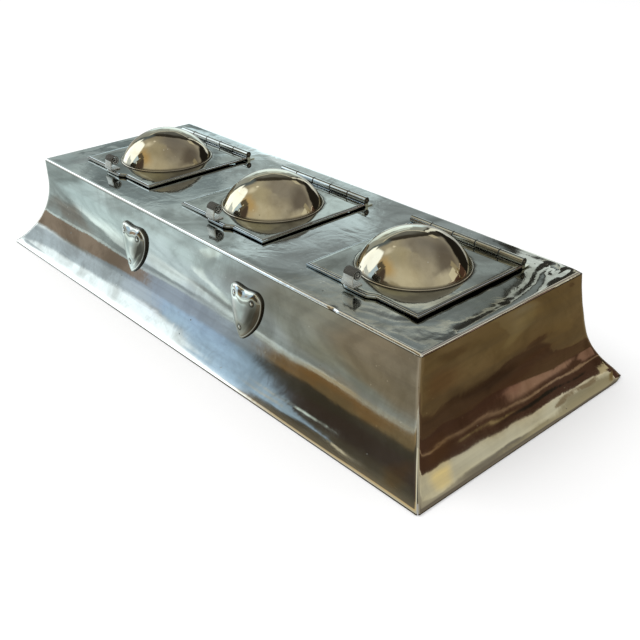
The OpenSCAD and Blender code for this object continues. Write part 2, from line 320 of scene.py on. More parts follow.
@dataclass(frozen=True)
class PlatedSheet(Finish):
    """Polished silver plate with clouds of tarnish, fine scratches, pits, edges lightened for wear and a
    painted highlight, and dark marks for dirt and painted shade.

    Attributes:
        tone: Colour of the plate where it is clean.
        dull: Colour of the thin clouds of tarnish.
        blooms: Patches of tone laid over the clouds, which carry tarnish and also painted reflections,
            highlights and shade.
        grain: Direction of the scratches.
        polish: Roughness of the clearest places.
        haze: Roughness that the clouds add.
        scratch: Depth of the scratches, in mm.
        ripple: Depth of the slow waves that the bump adds, in mm.
        waves: Number of these waves per metre.
        worn: Colour of the rubbed edges, which also paints a highlight line along them, and of the bright
            specks.
        swirl: How far the clouds are drawn into wisps.
        dust: How strongly the bright specks show.
        bare: Share of the plate that no film of dirt covers.
        wander: How far the borders of the blooms wander, in metres.
    """

    tone: Colour
    dull: Colour
    blooms: tuple[Bloom, ...] = ()
    grain: Grain = Grain.ALONG_X
    polish: float = 0.045
    haze: float = 0.09
    scratch: float = 0.0016
    ripple: float = 0.035
    waves: float = 80.0
    worn: Colour = (0.86, 0.86, 0.82)
    swirl: float = 0.9
    dust: float = 0.5
    bare: float = 1.0
    wander: float = 0.05

    def lay(self, paint: Paint, place: Signal) -> None:
        """Lays the tarnish, the lightened edges with their painted highlight, the dark marks of dirt and
        painted shade, the pits and the scratches.

        Args:
            paint: Builder of the material.
            place: Position on the piece.
        """
        clouds = paint.noise(place, CLOUD_WAVES, 6.0, 0.6, self.swirl)
        stretched = paint.vector("MULTIPLY", place, self.grain.value)
        hairs = paint.noise(stretched, 1.0, 3.0, 0.7)
        base = self._tone(paint, place, clouds, stretched)
        rim, dirt_and_shade = paint.mark("rim"), paint.mark("dirt_and_shade")
        # Lightened edges: wear, and a painted highlight line along them.
        base = paint.mix((rim * (0.5 + clouds)).clamped() * RIM_WEAR_AND_HIGHLIGHT_SHARE, base, self.worn)
        # Dark marks: dirt, and painted shade in joints, gaps, recesses and at the foot.
        base = paint.mix((dirt_and_shade * 1.2).clamped() * DIRT_AND_SHADE_SHARE, base, DIRT_AND_SHADE)
        pits = self._dots(paint, place, *PIT_DOTS)
        base = paint.mix(pits * PIT_SHARE, base, PIT)
        specks = self._dots(paint, place, *SPECK_DOTS)
        base = paint.mix(specks * self.dust, base, self.worn)
        smear = paint.noise(place, 9.0, 5.0, 0.65).step(0.42, 0.75)
        rough = self.polish + smear * self.haze + (hairs - 0.5) * 0.035 + pits * 0.3 + dirt_and_shade * 0.4
        relief = paint.bump(hairs, self.scratch * MM)
        relief = paint.bump(paint.noise(place, self.waves, 3.0, 0.5, self.swirl), self.ripple * MM, relief)
        relief = paint.bump(paint.noise(place, 230.0, 2.0, 0.5), self.ripple * 0.2 * MM, relief)
        relief = paint.bump(1.0 - pits, PIT_DEPTH * MM, relief)
        paint.surface(Base_Color=base, Metallic=self.bare, Roughness=rough.clamped(), Normal=relief)

    def _dots(self, paint: Paint, place: Signal, dots: float, groups: float, ends: Flat) -> Signal:
        """Small dots in groups, which fade in between two values of a noise."""
        return paint.cells(place, dots).step(*DOT_REACH) * paint.noise(place, groups, 2.0).step(*ends)

    def _tone(self, paint: Paint, place: Signal, clouds: Signal, stretched: Signal) -> Signal:
        """Colour of the plate before its edges and pits.

        Args:
            paint: Builder of the material.
            place: Position on the piece.
            clouds: Noise of the tarnish clouds.
            stretched: Position stretched along the scratches.

        Returns:
            The colour.
        """
        base = paint.mix(clouds.step(0.40, 0.66), self.tone, self.dull)
        fine = paint.noise(place, 95.0, 5.0, 0.65, self.swirl).step(0.46, 0.70)
        base = paint.mix(fine * 0.45, base, self.dull)
        drift = paint.drift(place, 24.0, 4.0, (self.wander, self.wander, self.wander * 0.6))
        wandered = paint.vector("ADD", place, drift)
        for bloom in self.blooms:
            centre = tuple(c * MM for c in bloom.centre)
            reach = tuple(r * MM for r in bloom.reach)
            away = paint.vector("DIVIDE", paint.vector("SUBTRACT", wandered, centre), reach)
            away = paint.vector("LENGTH", away, output="Value")
            base = paint.mix(away.step(1.15, 0.25) * bloom.share, base, bloom.tone)
        lines = paint.noise(stretched, 0.12, 4.0, 0.6)
        return paint.mix(lines.step(0.45, 0.7) * 0.32, base, WORN_LINE)


@dataclass(frozen=True)
class PlainMetal(Finish):
    """Dull turned or drawn metal of the small and hidden parts.

    Attributes:
        tone: Colour of the bare metal.
        stain: Colour of the stains on it.
        rough: Roughness of the clear places.
        rings: Waves of the tool marks per metre.
    """

    tone: Colour
    stain: Colour
    rough: float = 0.3
    rings: float = 900.0

    def lay(self, paint: Paint, place: Signal) -> None:
        """Lays the stains and the tool marks.

        Args:
            paint: Builder of the material.
            place: Position on the piece.
        """
        stains = paint.noise(place, 70.0, 6.0, 0.65)
        grit = paint.noise(place, self.rings, 3.0, 0.6)
        base = paint.mix(stains.step(0.4, 0.75), self.tone, self.stain)
        # Darkened where the dark marks are set, under the socket's flange and in the corners of its bore:
        # dirt and painted shade.
        base = paint.mix(paint.mark("dirt_and_shade").clamped() * 0.85, base, (0.05, 0.04, 0.03))
        rough = self.rough + (stains - 0.5) * 0.3 + (grit - 0.5) * 0.15
        relief = paint.bump(grit, 0.004 * MM)
        paint.surface(Base_Color=base, Metallic=1.0, Roughness=rough.clamped(), Normal=relief)


@dataclass(frozen=True)
class PressedGlass(Finish):
    """Clear pressed glass with faint ripples and a stain of dried ink low down.

    Attributes:
        ink_height: Height up to which ink has dried on it, in mm.
        glass: Colour of the clean glass.
        ink: Colour of the dried ink.
    """

    ink_height: float
    glass: Colour = (0.90, 0.96, 0.94)
    ink: Colour = (0.02, 0.03, 0.10)

    def lay(self, paint: Paint, place: Signal) -> None:
        """Lays the glass and the ink.

        Args:
            paint: Builder of the material.
            place: Position on the piece.
        """
        height = paint.axes(place)[2]
        blots = paint.noise(place, 120.0, 5.0, 0.6)
        stain = (height + (blots - 0.5) * 0.012).step(self.ink_height * MM, self.ink_height * MM * 0.6)
        base = paint.mix(stain * 0.7, self.glass, self.ink)
        rough = 0.02 + stain * 0.2 + blots.step(0.6, 0.8) * 0.02
        relief = paint.bump(paint.noise(place, 45.0, 2.0), 0.06 * MM)
        paint.surface(Base_Color=base, Roughness=rough, Normal=relief, Transmission_Weight=0.92, IOR=1.5)


@dataclass(frozen=True)
class WoolBaize(Finish):
    """Felted wool cloth with a short nap.

    Attributes:
        tone: Colour of the cloth.
        worn: Colour of its rubbed patches.
        depth: Colour between the hairs of the nap.
    """

    tone: Colour
    worn: Colour
    depth: Colour = (0.03, 0.055, 0.035)

    def lay(self, paint: Paint, place: Signal) -> None:
        """Lays the cloth and its nap.

        Args:
            paint: Builder of the material.
            place: Position on the piece.
        """
        nap = paint.noise(place, 1400.0, 5.0, 0.75)
        patches = paint.noise(place, 30.0, 4.0, 0.6)
        base = paint.mix(patches.step(0.45, 0.8), self.tone, self.worn)
        base = paint.mix(nap.step(0.35, 0.7) * 0.5, base, self.depth)
        relief = paint.bump(nap, 0.25 * MM)
        paint.surface(Base_Color=base, Roughness=0.95, Normal=relief, Sheen_Weight=0.25)


class Skin:
    """Points, faces and marks of one piece, in millimetres: light marks for wear and painted highlights, dark
    marks for dirt and painted shade.
    """

    def __init__(self) -> None:
        """Starts with nothing."""
        self.points: list[Point] = []
        self.faces: list[tuple[int, ...]] = []
        self.rim: list[float] = []
        self.dirt_and_shade: list[float] = []

    def ring(self, points: Iterable[Point], rim: float = 0.0, dirt_and_shade: float = 0.0) -> list[int]:
        """Adds a row of points.

        Args:
            points: The points in order.
            rim: How far the row is lightened, as a rubbed edge with a painted highlight.
            dirt_and_shade: How far the row is darkened, for dirt and painted shade.

        Returns:
            The numbers of the new points.
        """
        start = len(self.points)
        self.points.extend(points)
        count = len(self.points) - start
        self.rim.extend([rim] * count)
        self.dirt_and_shade.extend([dirt_and_shade] * count)
        return list(range(start, start + count))

    def bridge(self, first: Sequence[int], second: Sequence[int], closed: bool = True) -> None:
        """Joins two rows by quads.

        Args:
            first: The first row.
            second: The second row, of the same length.
            closed: Whether the rows are loops.
        """
        count = len(first)
        for i in range(count if closed else count - 1):
            j = (i + 1) % count
            self.faces.append((first[i], first[j], second[j], second[i]))

    def loft(self, rows: Sequence[Sequence[int]], closed: bool = True, round_about: bool = False) -> None:
        """Joins rows one after another.

        Args:
            rows: The rows in order.
            closed: Whether each row is a loop.
            round_about: Whether the last row joins the first.
        """
        for first, second in zip(rows, rows[1:]):
            self.bridge(first, second, closed)
        if round_about:
            self.bridge(rows[-1], rows[0], closed)

    def fan(self, row: Sequence[int], tip: Point, flip: bool = False) -> None:
        """Closes a row to one point.

        Args:
            row: The row, a loop.
            tip: The point.
            flip: Whether the faces are turned over.
        """
        (middle,) = self.ring([tip])
        for i, here in enumerate(row):
            there = row[(i + 1) % len(row)]
            self.faces.append((there, here, middle) if flip else (here, there, middle))

    def cap(self, row: Sequence[int], flip: bool = False) -> None:
        """Closes a row by one face, turned over if asked."""
        self.faces.append(tuple(reversed(row)) if flip else tuple(row))

    def build(self, name: str, crease: float = 38.0) -> Piece:
        """Makes the object.

        Args:
            name: Name of the piece.
            crease: Angle in degrees from which an edge is sharp.

        Returns:
            The new object, in metres, with its faces turned outward.
        """
        mesh = bpy.data.meshes.new(name)
        mesh.from_pydata([tuple(c * MM for c in p) for p in self.points], [], self.faces)
        for mark, values in (("rim", self.rim), ("dirt_and_shade", self.dirt_and_shade)):
            attribute = mesh.attributes.new(mark, "FLOAT", "POINT")
            attribute.data.foreach_set("value", values)
        mesh.validate()
        mesh.polygons.foreach_set("use_smooth", [True] * len(mesh.polygons))
        mesh.set_sharp_from_angle(angle=math.radians(crease))
        made = bpy.data.objects.new(name, mesh)
        bpy.context.scene.collection.objects.link(made)
        return made


@dataclass(frozen=True)
class Beaten:
    """The slow waves that hammering and polishing leave in a sheet.

    Attributes:
        depth: Depth of the waves, in mm.
        wave: Length of the waves, in mm.
        seed: Shift of the pattern, so that no two sheets are alike.
        stretch: How much longer the waves are along X, Y and Z.
    """

    depth: float
    wave: float
    seed: float
    stretch: Point = (1.0, 1.0, 1.0)

    def at(self, place: Point) -> float:
        """Height of the sheet's waves at a place.

        Args:
            place: Position in mm.

        Returns:
            The height in mm.
        """
        scaled = Vector([c / (self.wave * s) for c, s in zip(place, self.stretch)])
        moved = scaled + Vector((self.seed, self.seed * 0.7, -self.seed))
        return self.depth * (noise.noise(moved) + 0.35 * noise.noise(moved * 2.7))


@dataclass(frozen=True)
class Bulge:
    """A soft push on the case, which the real one took at a corner.

    Attributes:
        centre: Where it is strongest, in mm.
        reach: How far it reaches along X, Y and Z, in mm.
        shift: How far it moves the sheet there, in mm.
    """

    centre: Point
    reach: Point
    shift: Point

    def moved(self, point: Point) -> Point:
        """The point after the push."""
        share = math.exp(-sum(((p - c) / r) ** 2 for p, c, r in zip(point, self.centre, self.reach)))
        return tuple(p + share * s for p, s in zip(point, self.shift))


CORNER_PUSHES = (
    Bulge((152.0, 54.0, 33.5), (48.0, 40.0, 14.0), (1.9, 1.9, 0.0)),
    Bulge((169.0, 70.5, 0.0), (4.5, 4.5, 7.0), (-1.3, -1.3, 0.0)),
)


def pushed(point: Point) -> Point:
    """The point after every push that the right rear corner took."""
    return reduce(lambda place, push: push.moved(place), CORNER_PUSHES, point)


def box_mm(node: str) -> tuple[Vector, Vector]:
    """Corners of a CAD node at rest, in mm."""
    low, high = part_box(node)
    return low / MM, high / MM


def eased(value: float, low: float, high: float) -> float:
    """Goes smoothly from 0 at low to 1 at high."""
    share = max(0.0, min(1.0, (value - low) / (high - low)))
    return share * share * (3 - 2 * share)


def spaced(length: float, cells: int, edges: Sequence[float]) -> list[float]:
    """Places along a length, close together at both ends.

    Args:
        length: The whole length.
        cells: Number of even steps in the middle.
        edges: Distances from each end that get a place.

    Returns:
        The places from 0 to the length.
    """
    first, last = edges[-1], length - edges[-1]
    middle = [first + (last - first) * i / cells for i in range(1, cells)]
    return [*edges, *middle, *[length - e for e in reversed(edges)]]


def border_of(rows: Sequence[Sequence[int]]) -> list[int]:
    """Numbers of the points round the border of a grid."""
    return [*rows[0], *(r[-1] for r in rows[1:-1]), *reversed(rows[-1]), *(r[0] for r in rows[-2:0:-1])]


def arc(middle: Flat, radius: float, first: float, last: float, steps: int) -> list[Flat]:
    """Points of an arc with both of its ends; the angles are in radians."""
    angles = [first + (last - first) * i / steps for i in range(steps + 1)]
    return [(middle[0] + radius * math.cos(a), middle[1] + radius * math.sin(a)) for a in angles]


def rounded_over(distance: float, radius: float) -> float:
    """How far a rounded edge has dropped at a distance from the sharp edge."""
    return radius - math.sqrt(radius * radius - max(0.0, radius - distance) ** 2)


def dressed(piece: Piece, finish: Material) -> Piece:
    """Gives a piece its only material.

    Args:
        piece: The piece.
        finish: The material.

    Returns:
        The piece.
    """
    piece.data.materials.clear()
    piece.data.materials.append(finish)
    return piece


def revolved(
    skin: Skin,
    profile: Sequence[tuple[float, ...]],
    place: Callable[[float, float, float], Point],
    steps: int,
    poles: bool = False,
) -> None:
    """Turns a section round an axis.

    Args:
        skin: Where the points and faces go.
        profile: Radius and height of each point of the section, then its rim and nook marks if it has any.
        place: Turns radius, height and angle into a point.
        steps: Number of steps round the axis.
        poles: Whether the section starts and ends on the axis instead of being a loop.
    """
    inner = profile[1:-1] if poles else profile
    rows = [
        skin.ring([place(r, h, math.tau * i / steps) for i in range(steps)], *marks)
        for r, h, *marks in inner
    ]
    skin.loft(rows, True, not poles)
    if poles:
        skin.fan(rows[0], place(0.0, profile[0][1], 0.0), True)
        skin.fan(rows[-1], place(0.0, profile[-1][1], 0.0))


@dataclass
class CaseSide:
    """One mitred side of the case: upright above, curving out to the foot.

    Attributes:
        node: CAD node that the sheet stands for.
        turns: Quarter turns from the back of the case, counted to the left.
        waves: The beaten surface.
        drawn: Long fine waves along the side, left by drawing the sheet over the cove.
        open_mitre: Ends whose mitre has sprung open at the foot: -1 for the low end, 1 for the high.
        wall: Thickness of the sheet.
        cove_top: Height at which the upright begins to curve out.
        lip: Rounding of the foot's edge.
        edge: Rounding of the soldered corners.
        slit: Half the width of the open mitre at the desk.
        slit_top: Height at which the open mitre closes.
        steps: Steps of the upright, of the cove and of the inside.
        edge_rows: Rows over a rounded corner, as shares of its radius.
        cell: Width of the other cells along the sheet.
    """

    node: str
    turns: int
    waves: Beaten
    drawn: Beaten
    open_mitre: tuple[int, ...] = ()
    wall: float = 1.2
    cove_top: float = 42.0
    lip: float = 1.1
    edge: float = 0.95
    slit: float = 0.42
    slit_top: float = 17.0
    steps: tuple[int, int, int] = (11, 44, 16)
    edge_rows: tuple[float, ...] = (0.293, 0.42, 0.6, 0.8, 1.0)
    cell: float = 2.2

    def measure(self) -> tuple[float, float, float, float]:
        """Reads the sheet's sizes from the frame.

        Returns:
            Length of the upright, its distance from the middle, how far the foot stands out, and the top.
        """
        low, high = box_mm(self.node)
        top_low, top_high = box_mm("top_plate")
        sideways = self.turns % 2 == 1
        run = (top_high - top_low)[1 if sideways else 0]
        base = (top_high - top_low)[0 if sideways else 1] / 2
        flare = max(abs(v) for v in ((low.x, high.x) if sideways else (low.y, high.y))) - base
        return run, base, flare, high.z

    def section(self, flare: float, top: float) -> list[tuple[float, float, float, float, float, float]]:
        """Section of the sheet, from the outer top edge down to the foot and up again inside.

        Args:
            flare: How far the foot stands out.
            top: Height of the upper edge.

        Returns:
            Reach, height, the two parts of the normal, rim mark and share of the waves of each point.
        """
        rows = [(0.0, top - drop, 1.0, 0.0, 0.0, 0.0) for drop in (0.0, 0.25, 0.5)]
        upright, cove, inside = self.steps
        for i in range(1, upright):
            z = top - (top - self.cove_top) * i / upright
            rows.append((0.0, z, 1.0, 0.0, 0.0, eased(top - z, 0.0, 5.0)))
        drop = self.cove_top - self.lip
        out = flare - self.lip * 0.2
        radius = (drop * drop + out * out) / (2 * out)
        sweep = math.asin(drop / radius)
        for i in range(cove + 1):
            a = sweep * i / cove
            reach, z = radius * (1 - math.cos(a)), self.cove_top - radius * math.sin(a)
            # The last rows of the cove and the foot's edge get a rim mark: a painted highlight line along the
            # foot, with wear.
            near_lip = eased(i, cove - 4, cove)
            rows.append((reach, z, math.cos(a), math.sin(a), near_lip, 1.0 - 0.7 * near_lip))
        rows += [
            (flare - 0.02, self.lip * 0.92, 1.0, 0.0, 0.9, 0.2),
            (flare - 0.03, self.lip * 0.83, 1.0, 0.0, 0.0, 0.0),
            (flare - 0.12, self.lip * 0.22, 0.8, -0.6, 0.0, 0.0),
            (flare - 0.4, 0.0, 0.0, -1.0, 0.0, 0.0),
        ]
        radius = (self.cove_top**2 + flare * flare) / (2 * flare)
        inner = radius + self.wall
        for i in range(inside + 1):
            z = self.cove_top * i / inside
            reach = radius - math.sqrt(inner * inner - (self.cove_top - z) ** 2)
            rows.append((reach, z, -1.0, 0.0, 0.0, 0.0))
        rows.append((-self.wall, top, -1.0, 0.0, 0.0, 0.0))
        return rows

    def turned(self, point: Point) -> Point:
        """Carries a point of the back side round to this side.

        Args:
            point: The point.

        Returns:
            Its place on this side, pushed with the case.
        """
        x, y, z = point
        for _ in range(self.turns):
            x, y = -y, x
        return pushed((x, y, z))

    def build(self) -> Piece:
        """Builds the sheet.

        Returns:
            The new piece.
        """
        run, base, flare, top = self.measure()
        skin = Skin()
        rows = []
        ends = [self.edge * k for k in self.edge_rows] + [2.2, 5.0]
        for reach, z, out, up, rim, share in self.section(flare, top):
            half = run / 2 + reach
            places = spaced(2 * half, round(run / self.cell), ends)
            row, marks = [], []
            for along in places:
                near = min(along, 2 * half - along)
                side = -1 if along < half else 1
                pull = self.slit * max(0.0, 1 - z / self.slit_top) ** 1.5 if side in self.open_mitre else 0.0
                if near < ends[-2]:
                    along -= side * pull * (1 - eased(near, 0.0, ends[-2]))
                x = along - half
                sink = rounded_over(near, self.edge) if out > 0 or up < 0 else 0.0
                spread = self.turned((x, base + reach, z))
                wave = (self.waves.at(spread) + self.drawn.at(spread)) * share * eased(near, 0.8, 12.0)
                wave = min(wave, 0.0) if reach > flare - 2.0 else wave
                row.append(self.turned((x, base + reach - sink + wave * out, z + wave * up)))
                # The rim mark, and a lighter line over the mitred corners: painted highlight lines, with
                # wear.
                marks.append(max(rim, 1.0 - eased(near, 0.5, 1.6) if out > 0 else 0.0))
            numbers = skin.ring(row)
            for number, mark in zip(numbers, marks):
                skin.rim[number] = mark
                # Dark just under the top edge, at the joint with the top, and low on the foot, where it
                # paints the shadow at the desk.
                skin.dirt_and_shade[number] = 0.8 if top - z < 0.3 or z < self.lip * 0.85 and out >= 0 else 0.0
            rows.append(numbers)
        skin.loft(rows, False, True)
        skin.cap([row[0] for row in rows])
        skin.cap([row[-1] for row in rows], True)
        return skin.build(self.node.replace("_panel", "_sheet"))


@dataclass(frozen=True)
class Crease:
    """A shallow groove that a knock left in a sheet.

    Attributes:
        path: Places along it, in mm.
        depth: Its depth.
        wide: Its half width.
    """

    path: tuple[Flat, ...]
    depth: float
    wide: float

    def at(self, x: float, y: float) -> float:
        """How deep the groove is at a place.

        Args:
            x: Place along X, in mm.
            y: Place along Y, in mm.

        Returns:
            The depth in mm.
        """
        here, nearest = Vector((x, y)), math.inf
        for first, last in zip(self.path, self.path[1:]):
            start, run = Vector(first), Vector(last) - Vector(first)
            share = max(0.0, min(1.0, (here - start).dot(run) / run.length_squared))
            nearest = min(nearest, (here - start - run * share).length)
        return self.depth * math.exp(-((nearest / self.wide) ** 2))


CORNER_CREASES = (
    Crease(
        ((147.5, -26.0), (147.0, 4.0), (146.0, 15.0), (142.5, 28.0), (137.5, 38.5), (136.5, 47.0)), 0.26, 2.2
    ),
    Crease(((136.5, 47.0), (140.5, 45.0), (142.5, 39.5), (145.2, 40.5), (144.5, 48.5)), 0.22, 1.3),
    Crease(((128.0, -8.0), (133.0, 8.0), (131.0, 22.0)), 0.16, 3.4),
    Crease(((112.0, -44.0), (126.0, -40.0), (134.0, -30.0), (131.0, -16.0)), 0.14, 3.0),
)


@dataclass
class TopSheet:
    """The flat top with its rounded edge, its holes for the wells and a nick in the front edge.

    Attributes:
        waves: The beaten surface.
        buckles: Deeper waves that soldering left near both ends.
        edge: Rounding of the edge.
        hole: Radius of the holes.
        nick_x: Place of the nick along the front edge.
        nick_size: Width and depth of the nick.
        sag: How far the border sags where it was rubbed down.
        droop: How far the right end droops.
        bent_from: Place along X from which the knocks of the right end are felt.
        edge_rows: Rows over the rounded edge, as shares of its radius.
        border_rows: Further rows near the edge, in mm from it.
        cell: Width of the other cells.
    """

    waves: Beaten
    buckles: Beaten
    edge: float = 1.15
    hole: float = 23.0
    nick_x: float = 101.3
    nick_size: Flat = (1.3, 0.55)
    sag: float = 0.12
    droop: float = 0.34
    bent_from: float = 100.0
    edge_rows: tuple[float, ...] = (0.0, 0.08, 0.25, 0.5, 0.78, 1.0)
    border_rows: tuple[float, ...] = (1.8, 2.6, 3.5, 4.5)
    cell: float = 1.3

    def build(self) -> Piece:
        """Builds the sheet and cuts its holes.

        Returns:
            The new piece.
        """
        low, high = box_mm("top_plate")
        skin = Skin()
        ends = [self.edge * k for k in self.edge_rows] + [*self.border_rows]
        wide, deep = high.x - low.x, high.y - low.y
        across = spaced(wide, round(wide / self.cell), ends)
        along = spaced(deep, round(deep / self.cell), ends)
        rows = []
        for v in along:
            rows.append(skin.ring([self.point(low, high, u, v) for u in across]))
            for number, u in zip(rows[-1], across):
                border = min(u, v, high.x - low.x - u, high.y - low.y - v)
                # Lighter along the rounded border: wear, and a painted highlight line.
                skin.rim[number] = 1.0 - eased(border, self.edge * 0.7, self.edge * 1.6)
                skin.dirt_and_shade[number] = self.nick_at(skin.points[number], low.y) ** 2
        skin.loft(rows, False)
        edge = border_of(rows)
        # The underside is darkened, painted shade inside the case.
        under = skin.ring([(*skin.points[i][:2], low.z) for i in edge], 0.0, 0.5)
        skin.bridge(under, edge)
        skin.cap(under, True)
        sheet = skin.build("top_sheet")
        self.cut_wells(sheet, low.z, high.z)
        return sheet

    def nick_at(self, point: Point, front: float) -> float:
        """Depth share of the nick at a point, from 0 to 1."""
        away = ((point[0] - self.nick_x) / self.nick_size[0]) ** 2 + ((point[1] - front) / 1.1) ** 2
        return math.exp(-away)

    def point(self, low: Vector, high: Vector, u: float, v: float) -> Point:
        """A point of the upper face.

        Args:
            low: Lowest corner of the sheet.
            high: Highest corner of the sheet.
            u: Distance from the left edge.
            v: Distance from the front edge.

        Returns:
            The point, on the rounded edge near the border.
        """
        wide, deep = high.x - low.x, high.y - low.y
        tu, tv = min(u, wide - u), min(v, deep - v)
        a, b = max(0.0, self.edge - tu), max(0.0, self.edge - tv)
        far = math.hypot(a, b)
        keep = min(1.0, self.edge / far) if far > 0 else 1.0
        side_x, side_y = (1 if u < wide / 2 else -1), (1 if v < deep / 2 else -1)
        x = low.x + u + side_x * a * (1 - keep)
        y = low.y + v + side_y * b * (1 - keep)
        drop = self.edge - math.sqrt(max(0.0, self.edge**2 - (far * keep) ** 2))
        from_edge = min(tu, tv)
        near_end, inside = 1 - eased(tu, 14.0, 30.0), eased(from_edge, 0.0, 6.0)
        wave = (self.waves.at((x, y, 0.0)) + self.buckles.at((x, y, 0.0)) * near_end) * inside
        bow = 0.5 + noise.noise(Vector((x / 37, y / 37, 7.7)))
        sag = self.sag * (1 - eased(from_edge, 0.6, 5.0)) * bow
        wave -= (self.waves.depth + self.buckles.depth * near_end) * inside * 0.8
        slump = 0.8 + 0.7 * noise.noise(Vector((3.1, y / 15, 2.2)))
        droop = self.droop * (1 - eased(wide - u, 0.4, 5.0)) * slump
        dents = sum(crease.at(x, y) for crease in CORNER_CREASES if x > self.bent_from)
        dents *= eased(from_edge, 0.0, 3.0)
        z = high.z - drop + min(0.0, wave) - max(0.0, sag) - max(0.0, droop) - dents
        nick = self.nick_at((x, y, z), low.y)
        return x, y + nick * self.nick_size[1] * 0.8, max(low.z, z - nick * self.nick_size[1])

    def cut_wells(self, sheet: Piece, low: float, high: float) -> None:
        """Cuts a round hole for each well.

        Args:
            sheet: The uncut sheet.
            low: Height of its lower face.
            high: Height of its upper face.
        """
        for n in (1, 2, 3):
            middle = sum(box_mm(f"well_socket_{n}"), Vector()) / 2
            cutter = Skin()
            profile = [(0, low - 2), (self.hole, low - 2), (self.hole, high + 2), (0, high + 2)]
            revolved(
                cutter, profile, lambda r, h, a: (middle.x + r * math.cos(a), r * math.sin(a), h), 64, True
            )
            tool = cutter.build(f"well_cutter_{n}")
            cut = sheet.modifiers.new("well", "BOOLEAN")
            cut.object, cut.operation, cut.solver = tool, "DIFFERENCE", "EXACT"
            bpy.context.view_layer.update()
            done = bpy.data.meshes.new_from_object(sheet.evaluated_get(bpy.context.evaluated_depsgraph_get()))
            sheet.modifiers.clear()
            sheet.data = done
            bpy.data.objects.remove(tool)


@dataclass
class CornerSeam:
    """The thin line of solder that fills the outside of one mitred corner.

    Attributes:
        name: Name of the piece.
        corner: Signs of the corner's place along X and Y.
        foot: Height at which the solder ends above the desk.
        radius: Radius of the solder line.
        inset: How far its middle lies inside the sharp corner, along X and along Y.
    """

    name: str
    corner: tuple[int, int]
    foot: float
    radius: float = 0.3
    inset: float = 0.36

    def build(self, side: CaseSide) -> Piece:
        """Builds the solder line along the outer edge of the mitre.

        Args:
            side: A side of the case, which gives the shape of the mitre.

        Returns:
            The new piece.
        """
        run, base, flare, top = side.measure()
        half_x, half_y = (base, run / 2) if side.turns % 2 else (run / 2, base)
        skin, rows = Skin(), []
        for reach, z, out, up, _, _ in side.section(flare, top):
            if z < self.foot or out < 0:
                break
            wobble = noise.noise(Vector((z / 4.0, self.corner[0], self.corner[1])))
            swell = self.radius * (1.0 + 0.25 * wobble)
            x = self.corner[0] * (half_x + reach - self.inset)
            y = self.corner[1] * (half_y + reach - self.inset)
            outward = Vector((self.corner[0], self.corner[1], 0)).normalized()
            across = Vector((-outward.y, outward.x, 0))
            leaning = (outward * out + Vector((0, 0, up))).normalized()
            ring = [Vector((x, y, z)) + leaning * swell * math.cos(t) + across * swell * math.sin(t)
                    for t in (math.tau * k / 10 for k in range(10))]
            # The rim mark lightens the whole solder line: a painted highlight line down the corner.
            rows.append(skin.ring([pushed(tuple(p)) for p in ring], 0.9))
        skin.loft(rows)
        skin.cap(rows[0], True)
        skin.cap(rows[-1])
        return skin.build(self.name)


COOL, GREY = (0.54, 0.575, 0.565), (0.33, 0.345, 0.33)
# Tone patches on the front, partly tarnish and partly painted reflection: light and bluish to the left and
# middle, a brown band low at the left, warm and brown to the right and a gold glint at the right end of the
# foot.
FRONT_TARNISH_AND_REFLECTIONS = blooms(
    (-120, -52, 46, 50, 30, 14, 0.40, 0.45, 0.44, 0.7),
    (-70, -54, 36, 45, 30, 12, 0.62, 0.68, 0.66, 0.6),
    (-128, -56, 26, 38, 30, 6, 0.30, 0.22, 0.17, 0.7),
    (-10, -58, 18, 62, 30, 12, 0.46, 0.49, 0.56, 0.6),
    (0, -54, 34, 70, 30, 9, 0.60, 0.62, 0.64, 0.5),
    (110, -52, 48, 66, 30, 16, 0.48, 0.43, 0.34, 0.6),
    (120, -54, 33, 60, 30, 10, 0.42, 0.38, 0.27, 0.6),
    (110, -58, 20, 52, 30, 6, 0.44, 0.32, 0.18, 0.75),
    (115, -64, 9, 52, 30, 11, 0.30, 0.28, 0.22, 0.7),
    (156, -66, 5, 10, 30, 6, 0.62, 0.50, 0.30, 0.8),
)
# Tone patches on the right end, partly tarnish and partly painted reflection: warm and brownish, with dark
# streaks across it and gold glints low at both corners.
RIGHT_TARNISH_AND_REFLECTIONS = blooms(
    (155, 0, 48, 30, 90, 12, 0.42, 0.365, 0.24, 0.8),
    (156, -10, 27, 30, 90, 12, 0.37, 0.30, 0.21, 0.7),
    (158, 8, 21, 30, 42, 6, 0.32, 0.18, 0.14, 0.4),
    (166, 0, 2, 30, 90, 10, 0.56, 0.55, 0.48, 0.8),
    (162, -48, 12, 20, 12, 9, 0.52, 0.42, 0.19, 0.5),
    (150, -36, 37, 20, 14, 8, 0.42, 0.26, 0.18, 0.4),
    (150, 12, 44, 20, 22, 5, 0.54, 0.48, 0.30, 0.5),
    (150, 34, 33, 20, 14, 6, 0.54, 0.46, 0.28, 0.5),
    (151, -18, 28, 20, 26, 5, 0.17, 0.13, 0.10, 0.8),
    (150, -30, 48, 20, 12, 5, 0.24, 0.18, 0.12, 0.7),
    (162, 58, 13, 14, 8, 11, 0.18, 0.14, 0.07, 0.85),
    (168, 60, 2.5, 8, 6, 3.5, 0.80, 0.66, 0.28, 0.9),
    (166, -50, 3, 10, 12, 5, 0.82, 0.64, 0.28, 0.7),
)
# Tone patches on the top, partly tarnish and partly painted reflection: lighter left of the middle, a
# near-white painted highlight along the back, and a dark painted reflection over the right end.
TOP_TARNISH_AND_REFLECTIONS = blooms(
    (-120, 0, 54, 60, 70, 20, 0.42, 0.46, 0.45, 0.6),
    (-50, -20, 54, 34, 36, 20, 0.60, 0.66, 0.66, 0.5),
    (48, -10, 54, 40, 40, 20, 0.34, 0.35, 0.35, 0.6),
    (143, 6, 54, 24, 56, 20, 0.20, 0.21, 0.18, 0.8),
    (-55, 50, 54, 55, 9, 20, 0.98, 1.0, 1.0, 0.9),
    (-138, -44, 54, 18, 14, 20, 0.26, 0.30, 0.30, 0.7),
    (96, -44, 54, 40, 10, 20, 0.28, 0.28, 0.24, 0.5),
)


